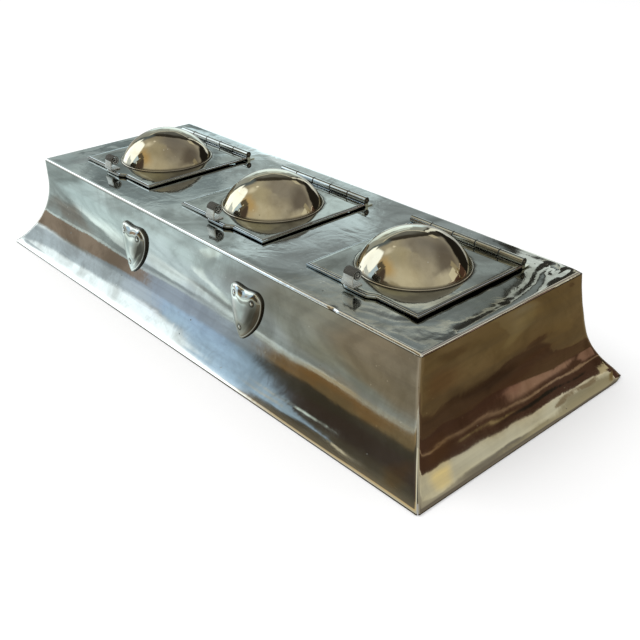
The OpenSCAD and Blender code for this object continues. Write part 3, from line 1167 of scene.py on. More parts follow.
@dataclass
class Case:
    """The fixed sheet-metal body of the stand.

    Attributes:
        sides: The four mitred sides.
        top: The top.
    """

    sides: list[CaseSide] = field(
        default_factory=lambda: [
            CaseSide("rear_panel", 0, Beaten(0.22, 40, 3.1, (1.6, 1, 1)), Beaten(0.02, 9, 1.4, (9, 1, 1))),
            CaseSide("left_panel", 1, Beaten(0.16, 40, 8.4, (1, 1.6, 1)), Beaten(0.02, 9, 2.6, (1, 8, 1))),
            CaseSide(
                "front_panel", 2, Beaten(0.28, 38, 12.9, (1.7, 1, 1)), Beaten(0.03, 9, 5.2, (9, 1, 1)), (-1,)
            ),
            CaseSide(
                "right_panel", 3, Beaten(0.36, 31, 21.5, (1, 1.5, 1)), Beaten(0.045, 8, 7.7, (1, 8, 1)), (1,)
            ),
        ]
    )
    top: TopSheet = field(default_factory=lambda: TopSheet(Beaten(0.12, 36.0, 5.3), Beaten(0.26, 21.0, 2.2)))

    def finishes(self) -> dict[str, PlatedSheet]:
        """The finish of each sheet of the case.

        Returns:
            The finishes by the name of the node.
        """
        return {
            "front_panel": PlatedSheet("front_plate", COOL, GREY, FRONT_TARNISH_AND_REFLECTIONS, scratch=0.003),
            "rear_panel": PlatedSheet("rear_plate", COOL, GREY),
            "left_panel": PlatedSheet("left_plate", COOL, GREY, grain=Grain.ALONG_Y),
            "right_panel": PlatedSheet(
                "right_plate", (0.50, 0.45, 0.33), (0.35, 0.30, 0.20), RIGHT_TARNISH_AND_REFLECTIONS, Grain.ALONG_Y,
                polish=0.03, haze=0.06, worn=(0.66, 0.62, 0.50),
            ),
            # The top's rubbed edges are near white: wear with a painted highlight line.
            "top_plate": PlatedSheet(
                "top_plate_finish", COOL, (0.25, 0.265, 0.255), TOP_TARNISH_AND_REFLECTIONS, polish=0.05, haze=0.12,
                ripple=0.10, waves=48.0, worn=(0.97, 0.99, 0.98), swirl=1.6,
            ),
        }

    def build(self) -> list[Piece]:
        """Builds and dresses the sheets and the solder of the corners.

        Returns:
            The new pieces.
        """
        finishes = {node: finish.material() for node, finish in self.finishes().items()}
        made = []
        for side in self.sides:
            sheet = dressed(side.build(), finishes[side.node])
            made.append(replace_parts(sheet, side.node))
        top = dressed(self.top.build(), finishes["top_plate"])
        made.append(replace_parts(top, "top_plate"))
        for corner in ((1, -1), (1, 1), (-1, 1), (-1, -1)):
            foot = self.sides[0].slit_top if corner == (1, -1) else 0.9
            end, face = ("right" if corner[0] > 0 else "left"), ("rear" if corner[1] > 0 else "front")
            seam = CornerSeam(f"corner_seam_{end}_{face}", corner, foot).build(self.sides[0])
            made.append(dressed(seam, finishes["rear_panel"]))
        return [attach(piece, "case") for piece in made]


HEART_PLACES = (-51.5, 45.5)
LID_PLACES = (-98.0, 0.0, 98.0)
HEART_SLIPS = {"heart_left": (-1.7, 1.6), "heart_right": (-1.5, -0.3)}


@dataclass
class Heart:
    """A swelling heart soldered to the front.

    Attributes:
        node: CAD node that it stands for.
        edge: Height of its upright edge.
        crown: How much further its middle swells out.
        lobe_share: Place of a lobe's middle, as a share of the half width.
        dip: Depth of the dip between the lobes.
        fullness: Fullness of the sides.
        middle_share: Place of the highest point below the lobes, as a share of the height.
        cove_top: Height at which the front begins to curve out.
        pins: Place of each pin mark along X and down from the top.
        pin_spread: Square of the reach of a pin mark.
        steps: Steps of half the dip, of a lobe and of a side.
        rings: Rings of the swelling.
    """

    node: str
    edge: float = 1.2
    crown: float = 2.25
    lobe_share: float = 0.6
    dip: float = 0.6
    fullness: float = 0.78
    middle_share: float = 0.42
    cove_top: float = 42.0
    pins: tuple[Flat, ...] = ((-6.6, 4.2), (6.6, 4.9), (-0.6, 18.4))
    pin_spread: float = 3.2
    steps: tuple[int, int, int] = (12, 14, 34)
    rings: int = 36

    def outline(self, half: float, top: float, tip: float) -> list[Flat]:
        """Outline about x = 0, from the dip round by the right lobe to the point and back.

        Args:
            half: Half the width.
            top: Height of the lobes' tops.
            tip: Height of the point.

        Returns:
            The points.
        """
        lobe_x = self.lobe_share * half
        lobe_r = half - lobe_x
        lobe_z = top - lobe_r
        dip, lobe, flank = self.steps
        side = [
            (lobe_x * s / dip, top - self.dip * (1 + math.cos(math.pi * s / dip)) / 2) for s in range(dip)
        ]
        for i in range(lobe):
            a = math.pi / 2 * (1 - i / lobe)
            side.append((lobe_x + lobe_r * math.cos(a), lobe_z + lobe_r * math.sin(a)))
        for i in range(flank + 1):
            s = 1 - (1 - i / flank) ** 1.5
            side.append((half * (1 - s * s) ** self.fullness, lobe_z * (1 - s) + tip * s))
        return side + [(-x, z) for x, z in side[-2:0:-1]]

    def build(self) -> Piece:
        """Builds the heart against the curve of the front.

        Returns:
            The new piece.
        """
        low, high = box_mm(self.node)
        front = box_mm("front_panel")
        wall_y, flare = box_mm("top_plate")[0].y, box_mm("top_plate")[0].y - front[0].y
        radius = (self.cove_top**2 + flare**2) / (2 * flare)
        middle_x, half = (low.x + high.x) / 2, (high.x - low.x) / 2
        middle_z = high.z - self.middle_share * (high.z - low.z)
        outline = self.outline(half, high.z, low.z)
        slip_top, slip_tip = HEART_SLIPS[self.node]

        def reach(z: float) -> float:
            """How far the front stands out at a height."""
            return radius - math.sqrt(radius**2 - max(0.0, self.cove_top - z) ** 2)

        def ring(share: float, height: float) -> list[Point]:
            """The outline drawn in and lifted off the front.

            Args:
                share: Share of its size that it keeps.
                height: How far it is lifted.

            Returns:
                The points.
            """
            row = []
            for x, z in outline:
                px, pz = x * share, middle_z + (z - middle_z) * share
                lift = height + (self.swell(px, pz, half, high.z) if share < 0.995 else 0.0)
                slip = slip_top + (slip_tip - slip_top) * (high.z - pz) / (high.z - low.z)
                row.append((middle_x + px + slip, wall_y - reach(pz) - lift, pz))
            return row

        skin = Skin()
        # The foot of the heart's edge is painted near black all round: a painted shade outline where it meets
        # the front.
        rows = [skin.ring(ring(1.0, -0.35), 0.0, 1.0), skin.ring(ring(1.0, 0.1), 0.0, 1.0)]
        rows.append(skin.ring(ring(1.0, self.edge * 0.5), 0.0, 0.9))
        # The upper edge is lightened: wear with a painted highlight line.
        for share, height, rim in ((0.995, 0.75, 0.0), (0.975, 0.93, 0.5), (0.94, 1.0, 0.8)):
            rows.append(skin.ring(ring(share, self.edge * height), rim, 0.8 - rim))
        for i in range(self.rings):
            inward = (i / self.rings) ** 1.3
            share = 0.93 * (1 - inward)
            height = self.edge * 1.02 + self.crown * (1 - (1 - inward) ** 3.2) ** 0.8
            rows.append(skin.ring(ring(share, height), 0.1 * (1 - inward)))
            # Each pin dimple gets a painted dark ring and a painted highlight in its middle.
            for number, (x, z) in zip(rows[-1], outline):
                depth = self.dimple(x * share, middle_z + (z - middle_z) * share, high.z)
                skin.dirt_and_shade[number] = max(0.0, 1 - abs(depth - 0.6) * 4)
                skin.rim[number] = max(skin.rim[number], eased(depth, 0.8, 0.95))
        skin.loft(rows)
        swell = self.swell(0.0, middle_z, half, high.z)
        tip = wall_y - reach(middle_z) - self.edge * 1.02 - self.crown - swell
        skin.fan(rows[-1], (middle_x, tip, middle_z))
        skin.cap(rows[0], True)
        return skin.build(self.node.replace("heart_", "heart_boss_"))

    def swell(self, x: float, z: float, half: float, top: float) -> float:
        """How much the lobes, the groove between them and the pin marks lift the heart.

        Args:
            x: Place along X from the heart's middle.
            z: Height.
            half: Half the heart's width.
            top: Height of the lobes' tops.

        Returns:
            The extra height in mm.
        """
        lobe = self.lobe_share * half
        bumps = sum(math.exp(-((x - s * lobe) ** 2 + (z - top + 4.6) ** 2) / 6.0) for s in (-1, 1))
        groove = math.exp(-((x / 2.6) ** 2)) * eased(z, top - 8.0, top - 1.5)
        depth = self.dimple(x, z, top)
        return 0.1 * bumps - 0.1 * groove - 0.3 * depth + 0.4 * eased(depth, 0.65, 1.0)

    def dimple(self, x: float, z: float, top: float) -> float:
        """Share from 0 to 1 of the small dimples over the three pins that hold the heart."""
        return max(
            math.exp(-((x - px) ** 2 + (z - top + down) ** 2) / self.pin_spread) for px, down in self.pins
        )


@dataclass
class LidPlate:
    """The square plate of a lid, with its bevelled edge and thumb tab.

    Attributes:
        number: Number of the lid.
        waves: The beaten surface.
        bow: How far the plate's middle stands above its border.
        mouth: Radius of the hole under the dome.
        bevel: Width and drop of the bevel.
        tab_flat: Width of the tab's straight front.
        tab_flank: Width of each curved flank.
        tab_out: How far the tab stands out.
        hinge_gap: Distance from the hinge axis to the plate's back edge.
        shade: Radii between which the painted shade round the foot of the dome fades out.
        turned_down: How far the plate's border is turned down.
    """

    number: int
    waves: Beaten
    bow: float = 0.15
    mouth: float = 24.8
    bevel: Flat = (1.15, 0.3)
    tab_flat: float = 11.0
    tab_flank: float = 5.5
    tab_out: float = 2.4
    hinge_gap: float = 1.3
    turned_down: float = 0.65
    shade: Flat = (26.3, 27.5)

    def outline(self, half: float, front: float, back: float) -> list[Flat]:
        """Outline about the well, from the back left corner round by the front.

        Args:
            half: Half the width.
            front: Distance from the well to the front edge.
            back: Distance from the well to the back edge.

        Returns:
            The points, without a repeated one.
        """
        inner = self.tab_flat / 2 + self.tab_flank
        corners = [(-half, back), (-half, -front), (-inner, -front)]
        tab = [
            (-inner + self.tab_flank * i / 10, -front - self.tab_out * (1 - math.cos(math.pi * i / 10)) / 2)
            for i in range(1, 11)
        ]
        tab += [(-self.tab_flat / 2 + self.tab_flat * i / 6, -front - self.tab_out) for i in range(1, 6)]
        tab += [(-x, y) for x, y in reversed(tab[:10])]
        ring = corners + tab + [(inner, -front), (half, -front), (half, back)]
        full = []
        for (x0, y0), (x1, y1) in zip(ring, ring[1:] + ring[:1]):
            cuts = max(1, round(math.hypot(x1 - x0, y1 - y0) / 1.9))
            full += [(x0 + (x1 - x0) * k / cuts, y0 + (y1 - y0) * k / cuts) for k in range(cuts)]
        return full

    def inset(self, outline: list[Flat], by: float) -> list[Flat]:
        """The outline moved inward by a distance, with its corners kept sharp.

        Args:
            outline: Points, counted against the clock as seen from above.
            by: The distance.

        Returns:
            As many points.
        """
        moved = []
        for i, (x, y) in enumerate(outline):
            before, after = Vector(outline[i - 1]), Vector(outline[(i + 1) % len(outline)])
            here = Vector((x, y))
            first, second = (here - before).normalized(), (after - here).normalized()
            normals = Vector((-first.y, first.x)), Vector((-second.y, second.x))
            both = normals[0] + normals[1]
            moved.append(tuple(here + both * (by / (1 + normals[0].dot(normals[1])))))
        return moved

    def build(self) -> Piece:
        """Builds the plate and the tongues that reach under its own knuckles.

        Returns:
            The new piece.
        """
        low, high = box_mm(f"lid_plate_{self.number}")
        dome_low, dome_high = box_mm(f"lid_dome_{self.number}")
        x0, y0 = (dome_low.x + dome_high.x) / 2, (dome_low.y + dome_high.y) / 2
        barrel_low, barrel_high = box_mm(f"lid_knuckles_{self.number}")
        axis_y, axis_z = (barrel_low.y + barrel_high.y) / 2 - y0, (barrel_low.z + barrel_high.z) / 2
        half, front = (high.x - low.x) / 2, y0 - low.y - self.tab_out
        outline = self.outline(half, front, axis_y - self.hinge_gap)
        skin = Skin()

        def row(
            points: list[Flat], z: float, share: float, rim: float = 0.0, dirt_and_shade: float = 0.0, down: float = 0.0
        ) -> list[int]:
            """Adds a loop of points, bent with the sheet.

            Args:
                points: Places about the well.
                z: Height on the flat plate.
                share: Share of the sheet's waves.
                rim: How far the loop is lightened, as a rubbed edge with a painted highlight.
                dirt_and_shade: How far the loop is darkened, for dirt and painted shade.
                down: How far the loop is turned down, except at the hinge.

            Returns:
                The numbers of the new points.
            """
            bent = []
            for x, y in points:
                wave = share * self.waves.at((x0 + x, y0 + y, 0.0)) - self.sag(x, y, half)
                kept = eased(axis_y - y, 3.0, 8.0) * (1 - 0.75 * eased(x, 0.0, half * 0.9))
                bent.append((x0 + x, y0 + y, z + wave - down * kept))
            return skin.ring(bent, rim, dirt_and_shade)

        wide, drop = self.bevel
        down, under = self.turned_down, high.z - drop
        # Light marks paint highlight lines on the outer edge and the inner edge of the bevel; dark marks
        # paint shade lines under the edge and along the bevel's flat.
        border = (
            (1.5, low.z),
            (1.3, low.z, 0.0, 0.3, down),
            (0.2, low.z, 0.0, 0.3, down),
            (0.0, low.z + 0.15, 0.0, 0.3, down),
            (0.0, high.z - 0.6, 0.0, 0.2, 0.3),
            (0.0, high.z - 0.45, 0.4, 0.0, 0.3),
            (0.15, high.z - 0.1, 1.0, 0.0, 0.28),
            (wide * 0.36, high.z - 0.12, 0.9, 0.0, 0.25),
            (wide * 0.46, under, 0.0, 0.9, 0.2),
            (wide * 0.8, under, 0.0, 0.9, 0.12),
            (wide * 0.9, high.z - 0.1, 0.6, 0.0, 0.08),
            (wide * 1.1, high.z - 0.01, 0.2, 0.0, 0.03),
        )
        rows = [row(self.inset(outline, by) if by else outline, z, 0.5, *rest) for by, z, *rest in border]
        rows.append(row(self.inset(outline, wide * 1.4), high.z, 0.6))
        edge = self.inset(outline, wide * 1.4)
        steps = 12
        for i in range(1, steps + 1):
            share = i / steps
            points = [self.toward(p, self.mouth, share) for p in edge]
            rows.append(row(points, high.z, 1.0 - 0.8 * share))
            # Painted shade on the plate round the foot of the dome.
            for number in rows[-1]:
                x, y, _ = skin.points[number]
                skin.dirt_and_shade[number] = 0.9 - 0.9 * eased(math.hypot(x - x0, y - y0), *self.shade)
        for share in (1.0, 0.5):
            rows.append(row([self.toward(p, self.mouth, share) for p in edge], low.z, 0.2))
        skin.loft(rows, True, True)
        self.add_tongues(skin, y0, axis_y, axis_z, low, high)
        return skin.build(f"lid_sheet_{self.number}")

    def sag(self, x: float, y: float, half: float) -> float:
        """How far the bowed plate lies below its middle."""
        away = max(0.0, math.hypot(x, y) - self.mouth - 1.5) / (half * 1.2 - self.mouth)
        return self.bow * away * away * (1 - eased(y, half * 0.5, half * 0.95))

    def toward(self, point: Flat, radius: float, share: float) -> Flat:
        """A point moved by a share of its way to a circle about the well."""
        scale = 1 + share * (radius / math.hypot(*point) - 1)
        return point[0] * scale, point[1] * scale

    def add_tongues(
        self, skin: Skin, y0: float, axis_y: float, axis_z: float, low: Vector, high: Vector
    ) -> None:
        """Adds the tongues under the knuckles that turn with the lid.

        Args:
            skin: Where they go.
            y0: Place of the well along Y.
            axis_y: Distance from the well to the hinge axis.
            axis_z: Height of the hinge axis.
            low: Lowest corner of the plate.
            high: Highest corner of the plate.
        """
        radius = (box_mm(f"lid_knuckles_{self.number}")[1].z - axis_z) + 0.02
        start, shoulder = axis_y - self.hinge_gap - 0.5, high.z - 0.05
        face = [(start, low.z + 0.05), (axis_y, low.z + 0.05)]
        sweep = math.acos((axis_z - shoulder) / radius)
        angles = [sweep * k / 6 for k in range(7)]
        face += [(axis_y - radius * math.sin(a), axis_z - radius * math.cos(a)) for a in angles]
        face.append((start, shoulder))
        for first, last in knuckle_spans(self.number, LID_KNUCKLES):
            # The tongues under the knuckles get a slight dark mark, painted shade, and a slight light mark.
            ends = [skin.ring([(x, y0 + y, z) for y, z in face], 0.2, 0.3) for x in (first + 0.2, last - 0.2)]
            skin.bridge(ends[1], ends[0])
            skin.cap(ends[0], True)
            skin.cap(ends[1])


LID_KNUCKLES = (1, 3)
CASE_KNUCKLES = (0, 2, 4)


def knuckle_spans(number: int, places: Iterable[int], knuckles: int = 5, gap: float = 0.15) -> list[Flat]:
    """Ends of the knuckles of one hinge.

    Args:
        number: Number of the hinge.
        places: Which knuckles, counted from the left end.
        knuckles: How many the hinge has.
        gap: Gap between neighbours.

    Returns:
        Left and right end of each, in mm.
    """
    low, high = box_mm(f"hinge_knuckles_{number}")
    length = (high.x - low.x - (knuckles - 1) * gap) / knuckles
    return [(low.x + k * (length + gap), low.x + k * (length + gap) + length) for k in places]


@dataclass
class LidDome:
    """The domed cap of a lid, with a thin bead at its foot.

    Attributes:
        number: Number of the lid.
        waves: The beaten surface.
        radius: Radius at the foot.
        sheet: Thickness of the sheet.
        bead: Radius of the bead.
        bead_shade: Painted shade at the points over the bead, from the dome outwards and down.
        steps: Steps of the outside, of the inside and round the dome.
    """

    number: int
    waves: Beaten
    radius: float = 25.8
    sheet: float = 0.9
    bead: float = 0.5
    bead_shade: tuple[float, ...] = (0.9, 0.4, 0.0, 0.0, 0.0, 0.0, 0.5, 1.0, 1.0)
    steps: tuple[int, int, int] = (44, 19, 144)

    def build(self) -> Piece:
        """Builds the cap.

        Returns:
            The new piece.
        """
        low, high = box_mm(f"lid_dome_{self.number}")
        x0, y0, rise = (low.x + high.x) / 2, (low.y + high.y) / 2, high.z - low.z
        ball = (self.radius**2 + rise**2) / (2 * rise)
        centre = high.z - ball
        sweep = math.asin(self.radius / ball)
        profile = [(0.0, high.z)]
        cap, lining, round_about = self.steps
        for i in range(1, cap + 1):
            a = (sweep - 0.012) * i / cap
            # The last rows of the dome are painted dark, as shade just above the bead.
            near_bead = 0.9 * eased(i, cap - 2, cap)
            profile.append((ball * math.sin(a), centre + ball * math.cos(a), 0.0, near_bead))
        # The bead is painted dark at both feet, as shade, and lighter over its crest, as a painted highlight.
        for i, dirt_and_shade in enumerate(self.bead_shade):
            a = math.pi * (0.78 - 0.78 * i / (len(self.bead_shade) - 1))
            reach = self.radius + self.bead * math.cos(a) * 0.9
            rim = 0.4 if 2 <= i < 6 else 0.0
            profile.append((reach, low.z + self.bead * max(0.0, math.sin(a)), rim, dirt_and_shade))
        inside = ball - self.sheet
        start = math.acos((ball - rise) / inside)
        for i in range(lining + 1):
            a = start * (1 - i / lining)
            profile.append((inside * math.sin(a), centre + inside * math.cos(a)))

        def place(r: float, h: float, a: float) -> Point:
            """A point of the cap, dented where the sheet was beaten.

            Args:
                r: Distance from the dome's axis.
                h: Height.
                a: Angle about the axis.

            Returns:
                The point.
            """
            x, y = x0 + r * math.cos(a), y0 + r * math.sin(a)
            outward = Vector((r * math.cos(a), r * math.sin(a), h - centre)).normalized()
            fade = eased(h, low.z + 0.8, low.z + 3.0)
            wave = fade * min(0.0, self.waves.at((x, y, h)) - self.waves.depth * 0.45)
            return x + outward.x * wave, y + outward.y * wave, h + outward.z * wave

        skin = Skin()
        revolved(skin, profile, place, round_about, True)
        return skin.build(f"dome_cap_{self.number}", 50.0)


@dataclass
class ThumbScroll:
    """The rolled strip on a lid's tab.

    Attributes:
        number: Number of the lid.
        sheet: Thickness of the strip.
        roll: Outer radius of the roll.
        air: Air between one turn and the next.
        turn: Angle that the strip rolls through, in degrees.
        lift: How far the roll stands above the CAD one.
        soft: Rounding of the strip's edges.
        inside: Station from which the strip's inner face is painted dark, as shade inside the roll.
        lean: How far the foot stands in front of the roll.
        splay: How much wider the foot is than the roll, as a share.
        bend: Radius of the bend at the foot.
        steps: Steps of the bend, of the upright and of the roll.
    """

    number: int
    sheet: float = 0.6
    roll: float = 2.65
    air: float = 0.35
    turn: float = 740.0
    lift: float = 1.2
    soft: float = 0.14
    inside: int = 16
    lean: float = 0.6
    splay: float = 0.12
    bend: float = 0.55
    steps: tuple[int, int, int] = (6, 9, 84)

    def path(self, rise: float) -> list[tuple[Flat, Flat]]:
        """Middle line of the strip and its normal, from the foot to the end inside the roll.

        Args:
            rise: Height of the roll's middle.

        Returns:
            Place and normal of each station, as distance back and height.
        """
        half, bend = self.sheet / 2, self.bend
        turning, upright, rolled = self.steps
        front = -self.roll + half
        foot = front - self.lean
        line = [(self.roll - 0.05, half), (foot + bend, half)]
        for i in range(1, turning + 1):
            a = math.pi / 2 * i / turning
            line.append((foot + bend * (1 - math.sin(a)), half + bend * (1 - math.cos(a))))
        for i in range(1, upright):
            height = half + bend + (rise - half - bend) * i / upright
            line.append((foot + self.lean * eased(i, 0, upright), height))
        for i in range(rolled + 1):
            a = math.radians(self.turn) * i / rolled
            inward = eased(math.degrees(a), 190, 360) + max(0.0, math.degrees(a) - 360) / 360
            radius = self.roll - (self.sheet + self.air) * inward - half
            line.append((-radius * math.cos(a), rise + radius * math.sin(a)))
        stations = []
        for i, here in enumerate(line):
            before, after = Vector(line[max(0, i - 1)]), Vector(line[min(len(line) - 1, i + 1)])
            way = (after - before).normalized()
            stations.append((here, (way.y, -way.x)))
        return stations

    def build(self) -> Piece:
        """Builds the strip.

        Returns:
            The new piece.
        """
        low, high = box_mm(f"thumb_scroll_{self.number}")
        middle_y = (low.y + high.y) / 2
        rise = high.z - low.z - self.roll + self.lift
        skin, rows = Skin(), []
        wide, thick = (high.x - low.x) / 2, self.sheet / 2
        section = []
        for corner_x, corner_t in ((1, 1), (-1, 1), (-1, -1), (1, -1)):
            for k in range(4):
                a = math.atan2(corner_t, corner_x) - math.pi / 4 + math.pi / 2 * k / 3
                x = corner_x * (wide - self.soft) + self.soft * math.cos(a)
                section.append((x, corner_t * (thick - self.soft) + self.soft * math.sin(a)))
        x0 = (low.x + high.x) / 2
        for (back, up), (nb, nu) in self.path(rise):
            splay = 1 + self.splay * (1 - eased(up, 0.5, rise * 0.8))
            ring = [(x0 + x * splay, middle_y + back + t * nb, low.z + up + t * nu) for x, t in section]
            numbers = skin.ring(ring)
            for number, (x, t) in zip(numbers, section):
                # The strip's edges are lightened as rubbed; the inner face of the roll is painted dark, as
                # the shade inside it.
                skin.rim[number] = 0.4 if abs(x) > wide - self.soft * 1.1 else 0.1
                skin.dirt_and_shade[number] = 0.9 if t < 0 and len(rows) > self.inside else 0.0
            rows.append(numbers)
        skin.loft(rows)
        skin.cap(rows[0], True)
        skin.cap(rows[-1])
        return skin.build(f"scroll_strip_{self.number}")


def about_hinge(node: str) -> tuple[float, float, float, Callable[[float, float, float], Point]]:
    """Measures a round node that lies along X.

    Args:
        node: Name of the CAD node.

    Returns:
        Its left and right end, its radius, and what turns radius, place along X and angle into a point.
    """
    low, high = box_mm(node)
    y0, z0 = (low.y + high.y) / 2, (low.z + high.z) / 2
    radius = (high.z - low.z) / 2
    return low.x, high.x, radius, lambda r, h, a: (h, y0 + r * math.sin(a), z0 + r * math.cos(a))


@dataclass
class Barrel:
    """Knuckles of one hinge that belong to one body.

    Attributes:
        node: CAD node that they stand for.
        number: Number of the hinge.
        places: Knuckles, counted from the left end.
        bore: Radius of the bore.
        soft: Rounding of the ends.
    """

    node: str
    number: int
    places: tuple[int, ...]
    bore: float = 0.65
    soft: float = 0.32

    def build(self) -> Piece:
        """Builds the knuckles.

        Returns:
            The new piece.
        """
        _, _, radius, place = about_hinge(self.node)
        skin = Skin()
        for first, last in knuckle_spans(self.number, self.places):
            # The knuckle ends and the bore are painted dark: painted shade in the gaps between knuckles.
            low_end = [(self.bore, first + 0.1, 0.0, 1.0), (self.bore + 0.15, first, 0.0, 0.7)]
            high_end = [(self.bore, last - 0.1, 0.0, 1.0), (self.bore + 0.15, last, 0.0, 0.7)]
            for ring, end, way in ((low_end, first, 1), (high_end, last, -1)):
                for i in range(5):
                    a = math.pi / 2 * i / 4
                    reach = radius - self.soft + self.soft * math.sin(a)
                    ring.append((reach, end + way * self.soft * (1 - math.cos(a)), 0.0, 1.0 - 0.5 * i / 4))
                ring.append((radius, end + way * 0.45, 0.1, 0.0))
            profile = low_end + high_end[::-1]
            revolved(skin, profile, place, 40)
        return skin.build(self.node + "_barrel", 42.0)


@dataclass
class HingePin:
    """The wire pin of one hinge.

    Attributes:
        number: Number of the hinge.
        soft: Rounding of its ends.
    """

    number: int
    soft: float = 0.25

    def build(self) -> Piece:
        """Builds the pin.

        Returns:
            The new piece.
        """
        left, right, radius, place = about_hinge(f"hinge_pin_{self.number}")
        profile = [(0.0, left)]
        for end, sign in ((left, 1), (right, -1)):
            tip = []
            for i in range(5):
                a = math.pi / 2 * i / 4
                around, along = self.soft * (1 - math.sin(a)), self.soft * (1 - math.cos(a))
                tip.append((radius - around, end + sign * along, 0.3))
            profile += tip if sign > 0 else tip[::-1]
        profile.append((0.0, right))
        skin = Skin()
        revolved(skin, profile, place, 24, True)
        return skin.build(f"pin_wire_{self.number}")


@dataclass
class Well:
    """One well: the flanged socket and the glass pot that stands in it.

    Attributes:
        number: Number of the well.
        socket_sheet: Thickness of the socket's sheet.
        flange: Width of the flange beyond the socket's wall.
        flange_sheet: Thickness of the flange.
        pot_wall: Thickness of the pot's wall.
        pot_floor: Thickness of the pot's floor.
        hollow: Radius of the hollow corner in the pot.
        foot: Rounding of the pot's foot.
        round_about: Steps round the socket and the pot.
    """

    number: int
    socket_sheet: float = 0.8
    flange: float = 5.0
    flange_sheet: float = 0.6
    pot_wall: float = 2.2
    pot_floor: float = 3.0
    hollow: float = 6.0
    foot: float = 1.5
    round_about: int = 96

    def around(self, node: str) -> Callable[[float, float, float], Point]:
        """Turns radius, height and angle about a node's own upright axis into a point."""
        middle = sum(box_mm(node), Vector()) / 2
        return lambda r, h, a: (middle.x + r * math.cos(a), middle.y + r * math.sin(a), h)

    def build_socket(self) -> Piece:
        """Builds the socket with a rounded flange.

        Returns:
            The new piece.
        """
        node = f"well_socket_{self.number}"
        low, high = box_mm(node)
        outer = (high.x - low.x) / 2
        wall = outer - self.flange
        bore = wall - self.socket_sheet
        neck = high.z - self.flange_sheet
        floor = low.z + self.socket_sheet
        profile = [
            (0.0, low.z), (wall - 0.5, low.z), (wall, low.z + 0.5), (wall, neck, 0.0, 0.3),
            (outer - 0.2, neck, 0.0, 0.5), (outer, neck + 0.2, 0.5), (outer, high.z - 0.3, 1.0),
            (outer - 0.12, high.z - 0.08, 1.0), (outer - 0.35, high.z, 0.5), (outer - 2.0, high.z),
            (bore + 0.8, high.z, 0.1), (bore + 0.25, high.z - 0.07, 0.8), (bore + 0.05, high.z - 0.3, 0.6),
            (bore, high.z - 0.8), (bore, (high.z + floor) / 2, 0.0, 0.1), (bore, floor + 0.5, 0.0, 0.8),
            (bore - 0.5, floor, 0.0, 0.9), (bore / 2, floor, 0.0, 0.2), (0.0, floor),
        ]
        skin = Skin()
        revolved(skin, profile, self.around(node), self.round_about, True)
        return skin.build(f"socket_cup_{self.number}", 45.0)

    def build_pot(self) -> Piece:
        """Builds the glass pot with a fire-polished rim.

        Returns:
            The new piece.
        """
        node = f"ink_pot_{self.number}"
        low, high = box_mm(node)
        outer = (high.x - low.x) / 2
        bore = outer - self.pot_wall
        lip = self.pot_wall / 2
        floor = low.z + self.pot_floor + self.hollow
        profile = [(0.0, low.z + 0.3), (outer - 4.0, low.z + 0.3), (outer - 2.5, low.z)]
        profile += arc((outer - self.foot, low.z + self.foot), self.foot, -math.pi / 2, 0.0, 5)
        profile += arc((outer - lip, high.z - lip), lip, 0.0, math.pi, 12)
        profile += arc((bore - self.hollow, floor), self.hollow, 0.0, -math.pi / 2, 8)
        profile.append((0.0, low.z + self.pot_floor))
        skin = Skin()
        revolved(skin, profile, self.around(node), self.round_about, True)
        return skin.build(f"glass_liner_{self.number}", 60.0)


@dataclass
class Lid:
    """One hinged lid with its own hinge and well.

    Attributes:
        number: Number of the lid.
        seed_step: Shift of the beaten pattern from one lid to the next.
        bearer_edge: Softening of the bearer's edges, in mm.
    """

    number: int
    seed_step: float = 4.7
    bearer_edge: float = 0.12

    def build(self, finishes: dict[str, Material], nodes: dict[str, Piece]) -> None:
        """Builds, dresses and carries every piece of the lid, its hinge and its well.

        Args:
            finishes: Materials by the name of their slot.
            nodes: CAD nodes by name.
        """
        n, body = self.number, f"lid_{self.number}"
        seed = self.seed_step * n
        well = Well(n)
        lid_barrel = Barrel(f"lid_knuckles_{n}", n, LID_KNUCKLES)
        case_barrel = Barrel(f"hinge_knuckles_{n}", n, CASE_KNUCKLES)
        work = [
            (LidPlate(n, Beaten(0.11, 24.0, seed)).build(), f"lid_plate_{n}", "lid_plate", body),
            (LidDome(n, Beaten(0.12, 17.0, seed + 2)).build(), f"lid_dome_{n}", "dome_plate", body),
            (ThumbScroll(n).build(), f"thumb_scroll_{n}", "scroll_metal", body),
            (lid_barrel.build(), f"lid_knuckles_{n}", "hinge_metal", body),
            (case_barrel.build(), f"hinge_knuckles_{n}", "hinge_metal", "case"),
            (HingePin(n).build(), f"hinge_pin_{n}", "pin_steel", "case"),
            (well.build_socket(), f"well_socket_{n}", "socket_metal", "case"),
            (well.build_pot(), f"ink_pot_{n}", "pot_glass", "case"),
        ]
        for piece, node, finish, carrier in work:
            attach(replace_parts(dressed(piece, finishes[finish]), node), carrier)
            LOG.info("%s stands for %s", piece.name, node)
        bearer = dressed(nodes[f"hinge_bearer_{n}"], finishes["bearer"])
        soften = bearer.modifiers.new("soft edges", "BEVEL")
        soften.width, soften.segments, soften.limit_method = self.bearer_edge * MM, 2, "ANGLE"


